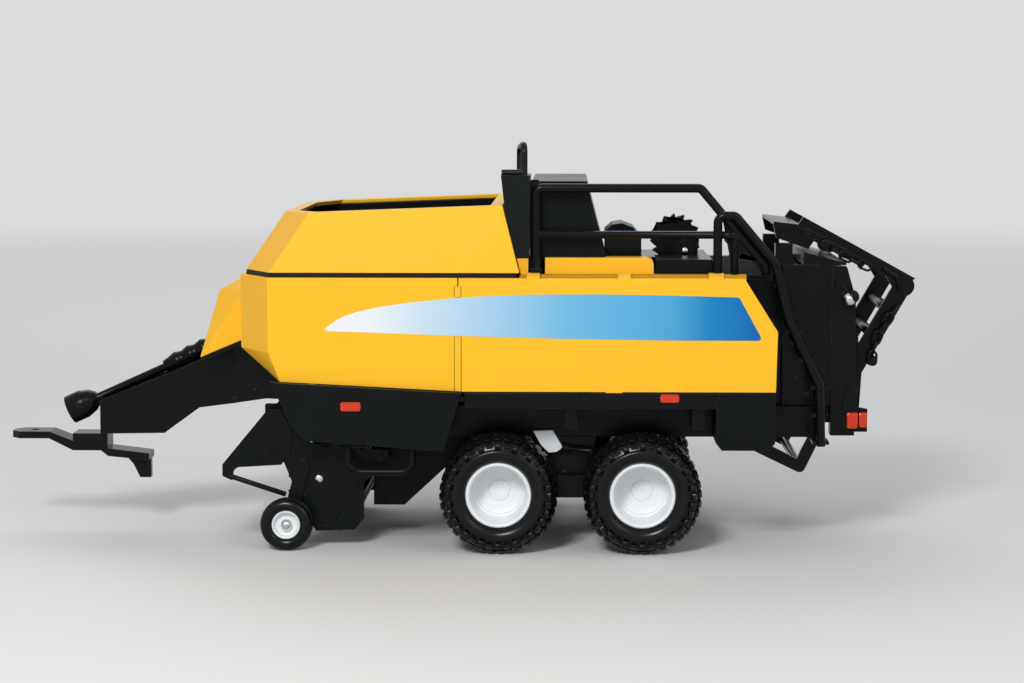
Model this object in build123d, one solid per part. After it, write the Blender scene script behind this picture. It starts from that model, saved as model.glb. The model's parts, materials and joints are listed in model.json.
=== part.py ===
from build123d import *
import math
import os

# Large square baler with a tandem axle, a 1:32 scale model.
# Frame: +X forward to the hitch, +Y to the machine's left, +Z up, ground at Z = 0, millimetres.

# ---------------------------------------------------------------- driving dimensions
# common clearances
RUN = 0.05            # radial play of a shaft in its bore
GAP = 0.30            # play beside moving pieces
SEAT = 0.02           # radial play of pressed round pieces

# running gear
WHEEL_R, TYRE_W = 16.2, 16.5
WHEEL_OUT = 46.9      # outer face of the tyres from the middle plane
TYRE_GAP = 6.3        # free space between the two tyres of one side
BOGIE_X = -32.4       # pivot of the walking beams
RIM_R, RIM_W = 8.9, 13.0
STUB_R = 1.6
DISH_DEPTH = 9.6      # the rims' web lies this far behind their outer edge
BEAM_H = 6.0          # height of a walking beam
PIVOT_RISE, PIVOT_R = 2.6, 2.2    # bogie axle above the wheel centres, and its radius

# bodywork
SIDE_Y, SKIN = 43.0, 1.2          # outer face and thickness of the side panels
PANEL_Z0, PANEL_Z1 = 44.0, 74.5   # lower and upper edge of the side panels
DOOR_X0, DOOR_X1 = -2.4, -87.2    # front and rear edge of the rear doors
DOOR_SLANT_X, DOOR_SLANT_Z = 8.2, 14.3   # the cut-off upper rear corner of the doors
COWL_X, COWL_Y = 57.8, 29.0       # front face of the cowl and its half width
CHAMFER_X = 48.8                  # where the side panels meet the front chamfers
SWEEP_F, SWEEP_S, SWEEP_Z = 11.4, 4.1, 54.4   # run-back of the foot's front and sides, and its height
COWL_LIFT = 2.4                   # the cowl's lower edge rises by this much towards the front
STRIP_T = 1.3                     # seal strip between cowl and hood
HOOD_RISE_F, HOOD_RISE_R = 15.7, 18.0    # hood height above the strip, front and rear
HOOD_LEAN = 3.0                   # the hood's sides lean in by this much
HOOD_BACK = -18.6                 # rear lower edge of the hood
HOOD_RAKE, HOOD_REAR_RUN = 10.6, 4.0     # how far the hood's front and rear lean towards each other
HOOD_RIM = 3.4                    # width of the rim round the open top
HOOD_IN = 1.6                     # the hood and its seal stand back from the cowl's front
TRAY_RISE, TRAY_T = 7.0, 1.4      # floor of the hood's open top
NOSE_REACH, NOSE_TOP_REACH = 14.4, 8.4   # lower and upper front edge ahead of the cowl
NOSE_HALF_R, NOSE_HALF_F = 22.0, 12.0    # half width at its rear and at its front
HINGES, HINGE_W, HINGE_PIN_R = (-22.3, -47.0, -71.3), 2.6, 0.3
SHIELD_T, SHIELD_OFF = 1.5, 0.4   # lower front shields and their stand-off from the panels
SILL_H, SILL_W = 4.3, 3.8
DECK_RISE = 0.7                   # the deck stands this much above the doors' top edge

# bale chamber
CH_W, CH_H, CH_WALL = 37.5, 28.0, 2.0
CH_FLOOR = 35.0
CH_X0, CH_X1 = 16.0, -107.0
RAIL_W, RAIL_Z0, RAIL_Z1 = 3.2, 29.5, 38.0
RAIL_X0, RAIL_X1 = 52.0, -100.0
RAIL_STEP_X, RAIL_STEP = 30.0, 3.8       # the rails are shallower ahead of this station
CROSS_W, CROSS_H = 4.4, 2.6
TF_T, TF_LEN, TF_RISE = 4.6, 19.8, 13.8  # tension frame: thickness, length, height over the roof
TF_BACK = 3.2                     # how far its rear posts reach behind the chamber
TF_POST = 6.6                     # width of the rear posts
RAM_R, RAM_Y = 2.2, 11.0          # press rams between chamber roof and crossbeam

# bale chute
CHUTE_DROP, CHUTE_BACK = 1.1, 2.4        # pivot below the floor's top and behind the chamber
FOLD_BACK, FOLD_DROP = 14.2, 5.8         # fold hinge behind the pivot and below the frame's top
KNEE = (-0.8, 13.6)               # bend of the lower rails, from the pivot
UPPER_LEN, UPPER_TILT, UPPER_H = 33.3, 28.5, 3.4
CHUTE_H, CHUTE_T = 4.8, 1.4
CHUTE_PIN_R, ROLLER_R = 1.0, 1.5
LIP_LEN, LIP_TILT, LIP_T = 7.8, 20.0, 0.8
LINK_L, LINK_W, LINK_BAR = 4.4, 2.8, 0.7  # chain link outside length, width and bar
HOOK_R = 0.55                     # pins the chains hang on

# pickup
PICK_PIVOT = (19.5, 24.5)
REEL_AXIS, REEL_TIP_R, REEL_CORE_R = (36.4, 17.6), 9.4, 3.0
PICK_INSET, PLATE_T = 9.0, 1.2    # end plates inside the body's sides, and their thickness
TINE_ROWS, TINE_T = 4, 0.8
BAND_PITCH, BAND_W, BAND_R, BAND_T = 4.4, 2.4, 7.6, 0.5
PICK_BAR_R = 1.2
GAUGE_R, GAUGE_W, GAUGE_X = 7.1, 5.6, 44.7
GAUGE_RIM_R = 3.9

# towing end
EYE_X, EYE_R, TONGUE_T = 121.4, 1.25, 2.0
TONGUE_Z, TONGUE_TIP, TONGUE_Y = 26.4, 127.5, 4.4
BAR_X, BAR_FOOT, BAR_TOP = 101.7, 26.9, 36.5   # front end of the drawbar
BAR_WALL = 1.4
HEAD_L, HEAD_H = 10.0, 4.9        # hitch block under the drawbar's end
SHAFT_R, GUARD_R, BELL_R = 1.2, 2.8, 4.1

# deck equipment
COL_TOP, COL_IN = 26.5, 21.0      # end column above the deck, and its inner face from the side
HANDLE_H, HANDLE_R = 8.3, 0.9
CAB_TOP, COVER_H = 24.8, 4.3
HAND_R, HAND_IN = 1.2, 5.4        # handrail tube and its inset from the body's side
RAIL_TOP, RAIL_MID = 23.1, 10.6   # handrails above the deck
LADDER_IN, LADDER_OUT = 11.2, 4.0 # stringers inside the body's side
TREAD_L, TREAD_T = 4.4, 0.8

# knotter drive
STAR_X, STAR_RISE, STAR_R, STAR_TEETH = -61.4, 7.9, 7.2, 20
STAR_Y, STAR_T, STAR_PIN_R = 9.0, 2.4, 1.0

# ---------------------------------------------------------------- derived places
WHEEL_Y = WHEEL_OUT - TYRE_W / 2
AXLES = [BOGIE_X + (WHEEL_R + TYRE_GAP / 2), BOGIE_X - (WHEEL_R + TYRE_GAP / 2)]
TYRE_IN = WHEEL_OUT - TYRE_W
TYRE_FRONT, TYRE_REAR = AXLES[0] + WHEEL_R, AXLES[1] - WHEEL_R
CH_SIDE = CH_W / 2 + CH_WALL
CH_ROOF = CH_FLOOR + CH_H
CH_FOOT = CH_FLOOR - CH_WALL
RAIL_Y = CH_SIDE + 1.2
RAIL_OUT = RAIL_Y + RAIL_W
RAIL_NOSE_Z = RAIL_Z0 + RAIL_STEP
IN_Y = SIDE_Y - SKIN
DECK_TOP = PANEL_Z1 + DECK_RISE
DECK_Z = DECK_TOP - SKIN
HINGE_R = SKIN / 2
HINGE_Y, HINGE_Z = SIDE_Y - HINGE_R, PANEL_Z1 - HINGE_R
HOOD_Z0 = PANEL_Z1 + STRIP_T
HOOD_TOP_F, HOOD_TOP_R = HOOD_Z0 + HOOD_RISE_F, HOOD_Z0 + HOOD_RISE_R
PLATE_Y = SIDE_Y - PICK_INSET
GAUGE_Y = PLATE_Y + 1.6 + GAUGE_W / 2
STAR_Z = DECK_TOP + STAR_RISE
TF_Y, TF_Z1 = CH_SIDE + TF_T, CH_ROOF + TF_RISE
TF_X1 = CH_X1 - TF_BACK
TF_X0 = TF_X1 + TF_LEN
CHUTE_Y = CH_SIDE - GAP
CHUTE_PIVOT = (CH_X1 - CHUTE_BACK, CH_FLOOR - CHUTE_DROP)
FOLD_HINGE = (CHUTE_PIVOT[0] - FOLD_BACK, TF_Z1 - FOLD_DROP)
UP_Y0 = CHUTE_Y + 0.15
UP_Y1 = UP_Y0 + CHUTE_T
HAND_Y, MID_R = SIDE_Y - HAND_IN, HAND_R * 0.87
BEAM_Y0, BEAM_Y1 = RAIL_OUT + 0.6, TYRE_IN - 0.5


# ---------------------------------------------------------------- helpers
def plate_xz(pts, y0, y1):
    """Plate with the outline pts (x, z), from y0 to y1."""
    face = make_face(Polyline([(x, y0, z) for x, z in pts], close=True))
    return extrude(face, amount=y1 - y0, dir=(0, 1, 0))


def plate_xy(pts, z0, z1):
    """Plate with the outline pts (x, y), from z0 to z1."""
    face = make_face(Polyline([(x, y, z0) for x, y in pts], close=True))
    return extrude(face, amount=z1 - z0, dir=(0, 0, 1))


def block(x0, x1, y0, y1, z0, z1):
    """Box between two corners."""
    lo = Vector(min(x0, x1), min(y0, y1), min(z0, z1))
    return Pos(*lo) * Box(abs(x1 - x0), abs(y1 - y0), abs(z1 - z0), align=(Align.MIN,) * 3)


def rod(p, q, r):
    """Round bar from p to q."""
    p, q = Vector(*p), Vector(*q)
    return Part() + Solid.make_cylinder(r, (q - p).length, Plane(origin=p, z_dir=q - p))


def rod_y(x, z, y0, y1, r):
    """Round bar along Y."""
    return rod((x, min(y0, y1), z), (x, max(y0, y1), z), r)


def bent_tube(pts, r, bend):
    """Round bar along straight runs joined by arcs."""
    pts = [Vector(*p) for p in pts]
    pieces, start = [], pts[0]
    for a, b, c in zip(pts, pts[1:], pts[2:]):
        u, v = (b - a).normalized(), (c - b).normalized()
        turn, axis = u.get_angle(v), u.cross(v).normalized()
        run = bend * math.tan(math.radians(turn / 2))
        p0, p1 = b - u * run, b + v * run
        pieces += [rod(start, p0, r),
                   revolve(Plane(origin=p0, z_dir=u) * Circle(r), Axis(p0 + axis.cross(u) * bend, axis), turn)]
        start = p1
    return Part() + pieces + rod(start, pts[-1], r)


def revolve_y(profile, y_mid, x, z):
    """Turn the outline (y, radius) about a Y axis through (x, z)."""
    face = make_face(Polyline([(rad, 0, -y) for y, rad in profile], close=True))
    return Pos(x, y_mid, z) * Rot(90, 0, 0) * revolve(face, Axis.Z, 360)


def turned(p, q, profile):
    """Turn the outline (distance from p, radius) about the line from p to q."""
    face = make_face(Polyline([(rad, 0, s) for s, rad in profile], close=True))
    axis = Vector(*q) - Vector(*p)
    return Plane(origin=Vector(*p), z_dir=axis).location * revolve(face, Axis.Z, 360)


def link_bar(p, q, half, y0, y1):
    """Flat bar in the XZ plane from p to q with rounded ends of radius half."""
    (px, pz), (qx, qz) = p, q
    d = Vector(qx - px, qz - pz, 0).normalized() * half
    a1, a2 = (px - d.Y, y0, pz + d.X), (px + d.Y, y0, pz - d.X)
    b1, b2 = (qx - d.Y, y0, qz + d.X), (qx + d.Y, y0, qz - d.X)
    wire = (Line(a2, b2) + ThreePointArc(b2, (qx + d.X, y0, qz + d.Y), b1)
            + Line(b1, a1) + ThreePointArc(a1, (px - d.X, y0, pz - d.Y), a2))
    return extrude(make_face(wire), amount=y1 - y0, dir=(0, 1, 0))


def along(origin, angle, s, t):
    """Point (x, z) at distance s along and t across a line at an angle through the origin."""
    c, n = math.cos(math.radians(angle)), math.sin(math.radians(angle))
    return origin[0] + s * c - t * n, origin[1] + s * n + t * c


def far(shape):
    """The same piece on the other side of the middle plane."""
    return mirror(shape, about=Plane.XZ)


def put(name, *shapes):
    """Write one node."""
    solids = []
    for s in shapes:
        solids += list(s.solids())
    export_step(Compound(children=solids) if len(solids) > 1 else solids[0], f"parts/{name}.step")


def put_sides(name, *shapes):
    """Write pieces and their mirror images as two nodes, left and right."""
    put(name + "_left", *shapes)
    put(name + "_right", *[far(s) for s in shapes])


def put_both(name, *shapes):
    """Write pieces and their mirror images as one node."""
    put(name, *shapes, *[far(s) for s in shapes])


os.makedirs("parts", exist_ok=True)

# ---------------------------------------------------------------- frame
put_both("frame_rails", plate_xz(
    [(RAIL_X1, RAIL_Z1), (RAIL_X1, RAIL_Z0), (RAIL_STEP_X - 10, RAIL_Z0), (RAIL_STEP_X, RAIL_NOSE_Z),
     (RAIL_X0, RAIL_NOSE_Z), (RAIL_X0, RAIL_Z1)], RAIL_Y, RAIL_OUT))

CROSS_XS = (BOGIE_X, (BOGIE_X + RAIL_X1) / 2 - 3.8, RAIL_X1 + 3.0)
cross = [block(x - CROSS_W / 2, x + CROSS_W / 2, -RAIL_Y, RAIL_Y, CH_FOOT - CROSS_H, CH_FOOT) for x in CROSS_XS]
cross.append(block(RAIL_X0 - 7.2, RAIL_X0 - 2.8, -RAIL_Y, RAIL_Y, RAIL_NOSE_Z, RAIL_NOSE_Z + CROSS_H))
SILL_Z1 = PANEL_Z0 - GAP
SILL_Z0, SILL_IN = SILL_Z1 - SILL_H, SIDE_Y - 0.4 - SILL_W
arms = [block(x - 1.6, x + 1.6, RAIL_OUT, SILL_IN, RAIL_Z1 - 4.6, RAIL_Z1 - 0.6)
        + block(x - 1.6, x + 1.6, SILL_IN - 2.4, SILL_IN, RAIL_Z1 - 4.6, SILL_Z1)
        for x in (BOGIE_X, TYRE_REAR + 1.2)]
put("cross_members", *cross, *arms, *[far(a) for a in arms])

# ---------------------------------------------------------------- bale chamber
put("chamber_floor", block(CH_X1, CH_X0, -CH_SIDE, CH_SIDE, CH_FOOT, CH_FLOOR))
put_both("chamber_sides", block(CH_X1, CH_X0, CH_W / 2, CH_SIDE, CH_FLOOR, CH_ROOF))
roof_z = CH_ROOF + CH_WALL
roof_rib = block(TF_X0 + GAP, STAR_X + 4, CH_SIDE - CH_WALL, CH_SIDE, roof_z, DECK_Z)
put("chamber_roof", block(CH_X1, CH_X0, -CH_SIDE, CH_SIDE, CH_ROOF, roof_z) + roof_rib + far(roof_rib))

# tension frame: side plates with stout rear posts, a crossbeam, two rams and a sloping cover
POST_FOOT = CH_FOOT - 3.0
side_plate = plate_xz([(TF_X0, RAIL_Z1 + GAP), (TF_X0, TF_Z1), (TF_X1 + TF_POST, TF_Z1),
                       (TF_X1 + TF_POST, RAIL_Z1 + GAP)], CH_SIDE, TF_Y - 1.0)
post = plate_xz([(TF_X1 + TF_POST, POST_FOOT), (TF_X1 + TF_POST, TF_Z1), (TF_X1 + 2.5, TF_Z1 - 0.4),
                 (TF_X1, TF_Z1 - 9.2), (TF_X1, POST_FOOT)], CH_SIDE, TF_Y)
frame = side_plate + post - rod_y(*CHUTE_PIVOT, CH_SIDE - 1, TF_Y + 1, CHUTE_PIN_R + SEAT)
put_both("tension_frame", frame)
beam_z = TF_Z1 - 4.0
crossbeam = [block(TF_X1 + TF_POST, TF_X0 - 5.0, -CH_SIDE, CH_SIDE, beam_z, TF_Z1 - 0.6)]
crossbeam += [rod((TF_X0 - 8.8, y, CH_ROOF + CH_WALL), (TF_X0 - 8.8, y, beam_z), RAM_R) for y in (-RAM_Y, RAM_Y)]
cover = plate_xz([(TF_X0 - 5.5, TF_Z1), (TF_X0 - 5.5, TF_Z1 + 3.6), (TF_X0 - 17.2, TF_Z1 + 0.6), (TF_X0 - 17.2, TF_Z1)],
                 -TF_Y + 1.2, TF_Y - 1.2)
cover -= plate_xz([(TF_X0 - 6.5, TF_Z1 - 1), (TF_X0 - 6.5, TF_Z1 + 2.4), (TF_X0 - 14.5, TF_Z1 + 0.3),
                   (TF_X0 - 14.5, TF_Z1 - 1)], -TF_Y + 2.2, TF_Y - 2.2)
stop = block(TF_X0 + 2.2, TF_X0 - 2.5, CH_SIDE, TF_Y - 1.2, TF_Z1, TF_Z1 + 5.9)
put("tension_crossbeam", *crossbeam, cover, stop, far(stop))
BALL_R = 1.9
ball_x, ball_z, ball_y = TF_X1 + 1.2, TF_Z1 - 8.4, TF_Y + 1.1
ball_sec = [(BALL_R * math.cos(math.radians(a)), BALL_R * math.sin(math.radians(a))) for a in range(180, -1, -30)]
latch = (rod_y(ball_x + 3.4, ball_z + 3.6, TF_Y, TF_Y + 1.6, 1.0)
         + rod((ball_x + 3.4, ball_y, ball_z + 3.6), (ball_x, ball_y, ball_z), 0.5)
         + revolve_y(ball_sec, ball_y + BALL_R - 1.0, ball_x, ball_z))
put_both("latch_pins", latch)

# ---------------------------------------------------------------- drawbar, tongue, driveline
bar_rear = RAIL_X0 - 8.0
bar_side = [(bar_rear, 52.0), (60.0, 53.6), (62.4, 53.2), (82.8, 44.2), (BAR_X, BAR_TOP), (BAR_X, BAR_FOOT),
            (82.6, BAR_FOOT + 0.9), (72.2, 35.4), (52.9, 38.4), (bar_rear, RAIL_Z1)]


def bar_plan(off, grow=0.0):
    """Tapering outline (x, y) of the drawbar, moved inwards by off."""
    return [(bar_rear + off * 1.5 - grow, -15 + off), (62.0, -14 + off), (BAR_X - off + grow, -5 + off),
            (BAR_X - off + grow, 5 - off), (62.0, 14 - off), (bar_rear + off * 1.5 - grow, 15 - off)]


GUARD = ((71.0, 0, 51.8), (83.5, 0, 45.6))
BELL = ((103.2, 0, 36.7), (111.2, 0, 33.1))
drawbar = plate_xz(bar_side, -20, 20) & plate_xy(bar_plan(0), 20, 60)
hollow = plate_xz([(x, z + BAR_WALL) for x, z in bar_side], -20, 20) & plate_xy(bar_plan(BAR_WALL), 20, 60)
drawbar -= hollow + (Pos(0, 0, 4) * hollow)
drawbar -= rod(GUARD[1], BELL[0], SHAFT_R + SEAT)
put("drawbar", drawbar)

bell_profile = [(0, 0), (0, 1.9), (1.6, 3.2), (4.4, BELL_R), (8.7, BELL_R), (8.7, BELL_R - 0.7), (4.6, 1.6),
                (8.2, 1.6), (8.2, 0)]
guard_profile = [(0, 0), (0, GUARD_R - 0.6)]
for k in range(3):
    guard_profile += [(1.6 + 4.2 * k, GUARD_R), (3.8 + 4.2 * k, GUARD_R - 0.6)]
guard_profile += [(13.95, GUARD_R - 0.9), (13.95, 0)]
shaft = turned(*GUARD, guard_profile) + rod(GUARD[1], BELL[0], SHAFT_R) + turned(*BELL, bell_profile)
put("driveline", shaft)

head_z1, head_z0 = BAR_FOOT, BAR_FOOT - HEAD_H
head_x0, head_x1 = BAR_X - 1.9, BAR_X - 1.9 + HEAD_L
tz = TONGUE_T / 2
tongue = plate_xz([(TONGUE_TIP, TONGUE_Z - tz), (TONGUE_TIP, TONGUE_Z + tz), (EYE_X - 5.0, TONGUE_Z + tz),
                   (head_x1, head_z0 + 2.8), (head_x1, head_z0), (EYE_X - 4.8, TONGUE_Z - tz)], -TONGUE_Y, TONGUE_Y)
for s in (1, -1):
    tongue -= Pos(TONGUE_TIP, s * TONGUE_Y, TONGUE_Z) * Rot(0, 0, 45) * Box(3.4, 3.4, 8)
tongue += block(head_x0, head_x1, -TONGUE_Y, TONGUE_Y, head_z0, head_z1)
tongue += plate_xz([(head_x0, head_z0 + 0.6), (88.0, head_z0 - 0.8), (88.0, head_z0 - 2.8), (head_x0, head_z0 - 1.6),
                    (head_x0 + 2, head_z0)], -TONGUE_Y, TONGUE_Y)
tongue += plate_xz([(88.0, head_z0 - 1.0), (96.0, head_z0 - 1.0), (93.0, head_z0 - 4.4), (91.2, head_z0 - 8.2),
                    (88.0, head_z0 - 8.2)], -1.2, 1.2)
tongue -= rod((EYE_X, 0, TONGUE_Z - 6), (EYE_X, 0, TONGUE_Z + 6), EYE_R)
put("hitch_tongue", tongue)

# ---------------------------------------------------------------- cowl, seal strip and hood


def body_plan(front, half_front, side_x, side_y, rear):
    """Outline (x, y) of the bodywork with chamfered front corners, closed across the rear."""
    return [(rear, -side_y), (side_x, -side_y), (front, -half_front),
            (front, half_front), (side_x, side_y), (rear, side_y)]


def prism(lower, z0, upper, z1):
    """Ruled solid between two outlines (x, y) at two heights."""
    a = make_face(Polyline([(x, y, z0) for x, y in lower], close=True))
    b = make_face(Polyline([(x, y, z1) for x, y in upper], close=True))
    return loft([a, b], ruled=True)


def cowl_body(off, z0, z1):
    """Cowl outline moved inwards by off, with the swept foot."""
    k = off * 0.55
    up = body_plan(COWL_X - off, COWL_Y - k, CHAMFER_X - k, SIDE_Y - off, DOOR_X0 + GAP)
    lo = body_plan(COWL_X - off - SWEEP_F, COWL_Y - k, CHAMFER_X - k - SWEEP_S, SIDE_Y - off, DOOR_X0 + GAP)
    return prism(lo, z0, up, SWEEP_Z) + prism(up, SWEEP_Z, up, z1)


cowl = cowl_body(0, PANEL_Z0, PANEL_Z1) - cowl_body(SKIN, PANEL_Z0 - 0.1, PANEL_Z1 + 0.1)
cowl -= block(DOOR_X0 - 5, DOOR_X0 + GAP + 0.01, -60, 60, 30, 120)
foot_x = CHAMFER_X - SWEEP_S
cowl -= plate_xz([(DOOR_X0, PANEL_Z0 - 5), (DOOR_X0, PANEL_Z0), (foot_x, PANEL_Z0 + COWL_LIFT),
                  (foot_x + 20, PANEL_Z0 + COWL_LIFT), (foot_x + 20, PANEL_Z0 - 5)], -60, 60)
cowl -= block(30, 70, -16.0, 16.0, 40, 56.5)
put("front_cowl", cowl)

HOOD_X, HOOD_CORNER = COWL_X - HOOD_IN, CHAMFER_X - 0.3
strip_plan = body_plan(HOOD_X, COWL_Y - 0.3, HOOD_CORNER, SIDE_Y - 0.5, HOOD_BACK + 0.8)
strip_hole = body_plan(HOOD_X - 2.5, COWL_Y - 1.6, HOOD_CORNER - 1.3, SIDE_Y - 3.0, HOOD_BACK - 5)
put("hood_seal_strip", plate_xy(strip_plan, PANEL_Z1, HOOD_Z0) - plate_xy(strip_hole, PANEL_Z1 - 1, HOOD_Z0 + 1))


def hood_body(off, z0):
    """Hood outline moved inwards by off, between its foot and a level above its top."""
    k, z1 = off * 0.55, HOOD_TOP_R + 5.4

    def outline(z):
        f, lean = (z - HOOD_Z0) / HOOD_RISE_F, HOOD_LEAN * (z - HOOD_Z0) / HOOD_RISE_R
        return body_plan(HOOD_X - off - HOOD_RAKE * f, COWL_Y - k - lean, HOOD_CORNER - k - HOOD_RAKE * f,
                         SIDE_Y - off - lean, HOOD_BACK + HOOD_REAR_RUN * f + off)
    return prism(outline(z0), z0, outline(z1), z1)


hood_x_f, hood_x_r = HOOD_X - HOOD_RAKE, HOOD_BACK + HOOD_REAR_RUN
slope = math.degrees(math.atan2(HOOD_RISE_R - HOOD_RISE_F, hood_x_f - hood_x_r))
roof_cut = Pos(hood_x_f, 0, HOOD_TOP_F) * Rot(0, slope, 0) * Pos(0, 0, 15) * Box(200, 120, 30)
hood = hood_body(0, HOOD_Z0) - roof_cut
hood -= hood_body(SKIN, HOOD_Z0 - 0.1) - (Pos(0, 0, -SKIN) * roof_cut)
hood -= hood_body(HOOD_RIM, HOOD_Z0 + 4)
put("upper_hood", hood)

# black tub that closes the hood's open top: a floor that reaches the hood's walls, and sides up to its rim
tray_z = HOOD_Z0 + TRAY_RISE
tray = hood_body(SKIN + 0.1, tray_z) & block(-60, 90, -80, 80, tray_z, tray_z + TRAY_T)
tray += hood_body(HOOD_RIM - 1.4, tray_z) - (Pos(0, 0, -SKIN - 0.1) * roof_cut)
tray -= hood_body(HOOD_RIM - 0.3, tray_z + TRAY_T)
put("hood_tray", tray)

NOSE_Z = (57.2, PANEL_Z1 - 2.9, 51.0, PANEL_Z1 - 6.9)   # rear foot, rear top, front foot, front top


def nose_body(off):
    """Wedge in front of the cowl, moved inwards by off."""
    hr, hf = NOSE_HALF_R - off, NOSE_HALF_F - off * 0.8
    xr, x0, x1 = COWL_X - off, COWL_X + NOSE_REACH - off, COWL_X + NOSE_TOP_REACH - off
    zr0, zr1, zf0, zf1 = NOSE_Z[0] + off, NOSE_Z[1] - off, NOSE_Z[2] + off, NOSE_Z[3] - off
    rear = [(xr, -hr, zr0), (xr, hr, zr0), (xr, hr, zr1), (xr, -hr, zr1)]
    front = [(x0, -hf, zf0), (x0, hf, zf0), (x1, hf, zf1), (x1, -hf, zf1)]
    return loft([make_face(Polyline(rear, close=True)), make_face(Polyline(front, close=True))], ruled=True)


bar_room = (plate_xz([(x, z + (GAP if z > 42 else -5)) for x, z in bar_side], -30, 30)
            & plate_xy(bar_plan(-GAP, 5.0), 20, 60))
nose = nose_body(0) - nose_body(SKIN) - bar_room - rod(*GUARD, GUARD_R + SEAT)
put("nose_cowl", nose.solids().sort_by(SortBy.VOLUME)[-1])

# ---------------------------------------------------------------- rear doors
slant_x = DOOR_X1 + DOOR_SLANT_X
door_side = [(DOOR_X0, HINGE_Z), (slant_x, HINGE_Z), (slant_x - 0.4, HINGE_Z - 0.7),
             (DOOR_X1 - 0.4, PANEL_Z1 - DOOR_SLANT_Z), (DOOR_X1, PANEL_Z0), (DOOR_X0, PANEL_Z0)]
door = plate_xz(door_side, IN_Y, SIDE_Y)
door += rod((slant_x, HINGE_Y, HINGE_Z), (DOOR_X0, HINGE_Y, HINGE_Z), HINGE_R)
door -= block(-46.0, -42.0, 30, 90, PANEL_Z0 - 1, PANEL_Z0 + 0.8)
hinge_set = []
for hx in HINGES:
    h = HINGE_W / 2
    door -= block(hx - h - 0.1, hx + h + 0.1, IN_Y - 5, SIDE_Y + 5, HINGE_Z - 1.3, HINGE_Z + 5)
    door -= rod((hx - h - 1.0, HINGE_Y, HINGE_Z), (hx + h + 1.0, HINGE_Y, HINGE_Z), HINGE_PIN_R + RUN)
    knuckle = rod((hx - h, HINGE_Y, HINGE_Z), (hx + h, HINGE_Y, HINGE_Z), HINGE_R)
    knuckle += block(hx - h, hx + h, IN_Y - 1.0, HINGE_Y, HINGE_Z - 0.4, PANEL_Z1 + DECK_RISE / 2)
    knuckle += rod((hx - h - 0.9, HINGE_Y, HINGE_Z), (hx + h + 0.9, HINGE_Y, HINGE_Z), HINGE_PIN_R)
    hinge_set.append(knuckle)
put_sides("rear_door", door)

# ---------------------------------------------------------------- deck and twine boxes
deck_edge = IN_Y - 1.0
deck = block(DOOR_X1 + 1.2, HOOD_BACK, -deck_edge, deck_edge, DECK_Z, DECK_TOP)
deck += block(HOOD_BACK, DOOR_X0 + 0.5, -deck_edge, deck_edge, PANEL_Z1 - SKIN, PANEL_Z1)
deck += plate_xy(body_plan(COWL_X - SKIN, COWL_Y - 0.66, CHAMFER_X - 0.66, IN_Y, DOOR_X0 + 0.5),
                 PANEL_Z1 - SKIN, PANEL_Z1)
deck += hinge_set + [far(h) for h in hinge_set]
deck -= block(STAR_X - STAR_R - 1, STAR_X + STAR_R + 1, STAR_Y - 1, STAR_Y + STAR_T + GAP, DECK_Z - 1, DECK_TOP + 1)
put("deck", deck)

BOX_X0, BOX_BAYS, BOX_BAY, BOX_T = DOOR_X0 - 3.6, 3, 23.2, 1.2
BOX_IN, BOX_OUT, BOX_Z0 = RAIL_OUT + 0.45, IN_Y - 1.2, SILL_Z1 + 0.6
BOX_X1 = BOX_X0 - BOX_BAYS * (BOX_BAY + BOX_T) - BOX_T
bays = block(BOX_X1, BOX_X0, BOX_IN, BOX_OUT, BOX_Z0, PANEL_Z1 - SKIN)
for i in range(BOX_BAYS):
    x = BOX_X0 - BOX_T - i * (BOX_BAY + BOX_T)
    bays -= block(x - BOX_BAY, x, BOX_IN + BOX_T, BOX_OUT + 1, BOX_Z0 + BOX_T, DECK_Z + 1)
put_both("twine_boxes", bays)

# ---------------------------------------------------------------- lower shields, sills, rear boxes
SILL_X0 = DOOR_X0 - 1.4
shield_y = SIDE_Y + SHIELD_OFF
shield = plate_xz([(CHAMFER_X - 0.6, PANEL_Z0 + COWL_LIFT + 0.4), (foot_x, PANEL_Z0 + COWL_LIFT - 0.1),
                   (DOOR_X0 - 0.8, PANEL_Z0 - 0.2),
                   (TYRE_FRONT - 1.5, RAIL_Z0 - 1.5), (38.2, RAIL_Z0 + 1.1), (42.2, RAIL_Z0 + 4.7)],
                  shield_y, shield_y + SHIELD_T)
ledge_z0, ledge_z1 = PANEL_Z0 - 2.6, PANEL_Z0 - 1.4
shield += block(SILL_X0, 42.0, SILL_IN, shield_y + 0.6, ledge_z0, ledge_z1)
put_both("lower_shields", shield)

REAR_BOX_X0 = TYRE_REAR - 3.35
sill = block(REAR_BOX_X0, SILL_X0, SILL_IN, SIDE_Y - 0.4, SILL_Z0, SILL_Z1)
rear_box = plate_xz([(DOOR_X1, SILL_Z1), (DOOR_X1, 30.2), (DOOR_X1 + 1.6, 28.2), (REAR_BOX_X0 - 1.6, 28.2),
                     (REAR_BOX_X0, 30.2), (REAR_BOX_X0, SILL_Z1)], TF_Y + 4.45, SIDE_Y - 0.2)
put_both("side_sills", sill + rear_box)

# loop steps hang from the shields' ledges
LOOP_R, loop_y, loop_z = 1.0, SIDE_Y - 2.0, 21.8
loop_x = (TYRE_FRONT + 7.1, 27.6)
loop = bent_tube([(loop_x[1], loop_y, ledge_z0), (loop_x[1], loop_y, loop_z), (loop_x[0], loop_y, loop_z),
                  (loop_x[0], loop_y, ledge_z0)], LOOP_R, 3.4)
put_both("loop_steps", loop)

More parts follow.
